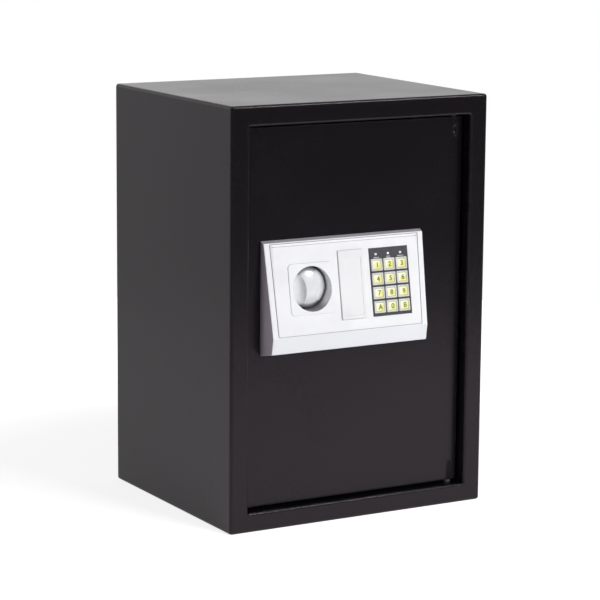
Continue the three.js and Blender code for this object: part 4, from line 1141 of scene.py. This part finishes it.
roomLook = {
    "fill": 0.16,             # the room's plain light; the rest is what gloss sees
    "ahead": 0.055,           # in front of the door
    "rightward": 1.4,         # how much brighter it is towards the right
    "low": 0.5,               # behind the safe, below the horizon
    "behind": 0.95,           # just over it
    "above": 0.07,            # higher up
    "overhead": 0.6,          # and straight up
    # where each ramp starts and ends, as parts of a direction: up, up, up, right and back
    "horizon": (-0.1, 0.12),
    "higher": (0.3, 0.55),
    "zenith": (0.78, 0.93),
    "right": (0.43, 0.57),
    "back": (-0.1, 0.55),
}


# White for the camera, plain light for everything else, and a dark room in front of the door
def makeRoom(look):
    world = bpy.data.worlds.new("room")
    world.use_nodes = True
    bpy.context.scene.world = world
    room = NodeTree(world.node_tree)
    room.tree.nodes.clear()
    east, north, up = room.split(room.node("ShaderNodeTexCoord", output="Generated"))
    horizon = room.step(up, *look["horizon"], look["low"], look["behind"])
    above = room.step(up, *look["zenith"], look["above"], look["overhead"])
    behind = room.step(up, *look["higher"], horizon, above)
    ahead = room.step(east, *look["right"], look["ahead"], look["ahead"] * (1 + look["rightward"]))
    front = room.step(up, *look["zenith"], ahead, look["overhead"])
    shine = room.step(north, *look["back"], front, behind)
    path = room.node("ShaderNodeLightPath", output="Is Camera Ray")
    gloss = path.other("Is Glossy Ray")
    seen = room.node("ShaderNodeMath", {"operation": "MAXIMUM"},
                     {0: path, 1: path.other("Is Transmission Ray")})
    strength = (look["fill"] * (1 - gloss) + shine * gloss) * (1 - seen) + seen
    light = room.node("ShaderNodeBackground", {}, {"Color": (1, 1, 1, 1), "Strength": strength})
    room.node("ShaderNodeOutputWorld", {}, {"Surface": light})


floorLook = {
    "radius": 1.35,           # metres
    "colour": tint(228, 228, 228),
    "patch": 30,              # of its mottle
    "glow": 0.8,              # beside the safe
    "white": 1.05,            # further out
    "whiteFrom": (0.4, 0.8),  # metres from the middle
    "near": 0.4,              # its gloss beside the safe
    "far": 0.05,              # and in front of it
    "nearFrom": (-1300.0, -250.0),
    "rightFrom": (350.0, 900.0),
    "rightward": 1.4,         # how much brighter its gloss is on the right
}


# A pale disc that keeps the safe's shadow and is white further out
def makeFloor(look):
    shape = bmesh.new()
    bmesh.ops.create_circle(shape, cap_ends=True, segments=96, radius=look["radius"])
    finish = Finish("paleFloor", Roughness=0.9, Specular_IOR_Level=0.0)
    mottle = finish.cloud(look["patch"], 3.0) - 0.5
    out = finish.node("ShaderNodeVectorMath", {"operation": "LENGTH"}, {0: finish.place}, "Value")
    glow = finish.step(out, *look["whiteFrom"], look["glow"], look["white"])
    right = finish.step(finish.along("X"), *look["rightFrom"])
    shine = finish.step(finish.along("Y"), *look["nearFrom"], look["far"], look["near"])
    shine = shine * (1 + right * look["rightward"])
    path = finish.node("ShaderNodeLightPath", output="Is Camera Ray")
    finish.give("Base Color", look["colour"])
    finish.give("Emission Color", (1, 1, 1, 1))
    finish.give("Emission Strength",
                path * (glow + mottle * 0.01) + path.other("Is Glossy Ray") * shine)
    newPiece("floor", meshFrom("floor", shape), finish.material)


for name in lampLook:
    makeLamp(name, lampLook[name])
makeRoom(roomLook)
makeFloor(floorLook)
bpy.context.scene.view_settings.view_transform = "Standard"
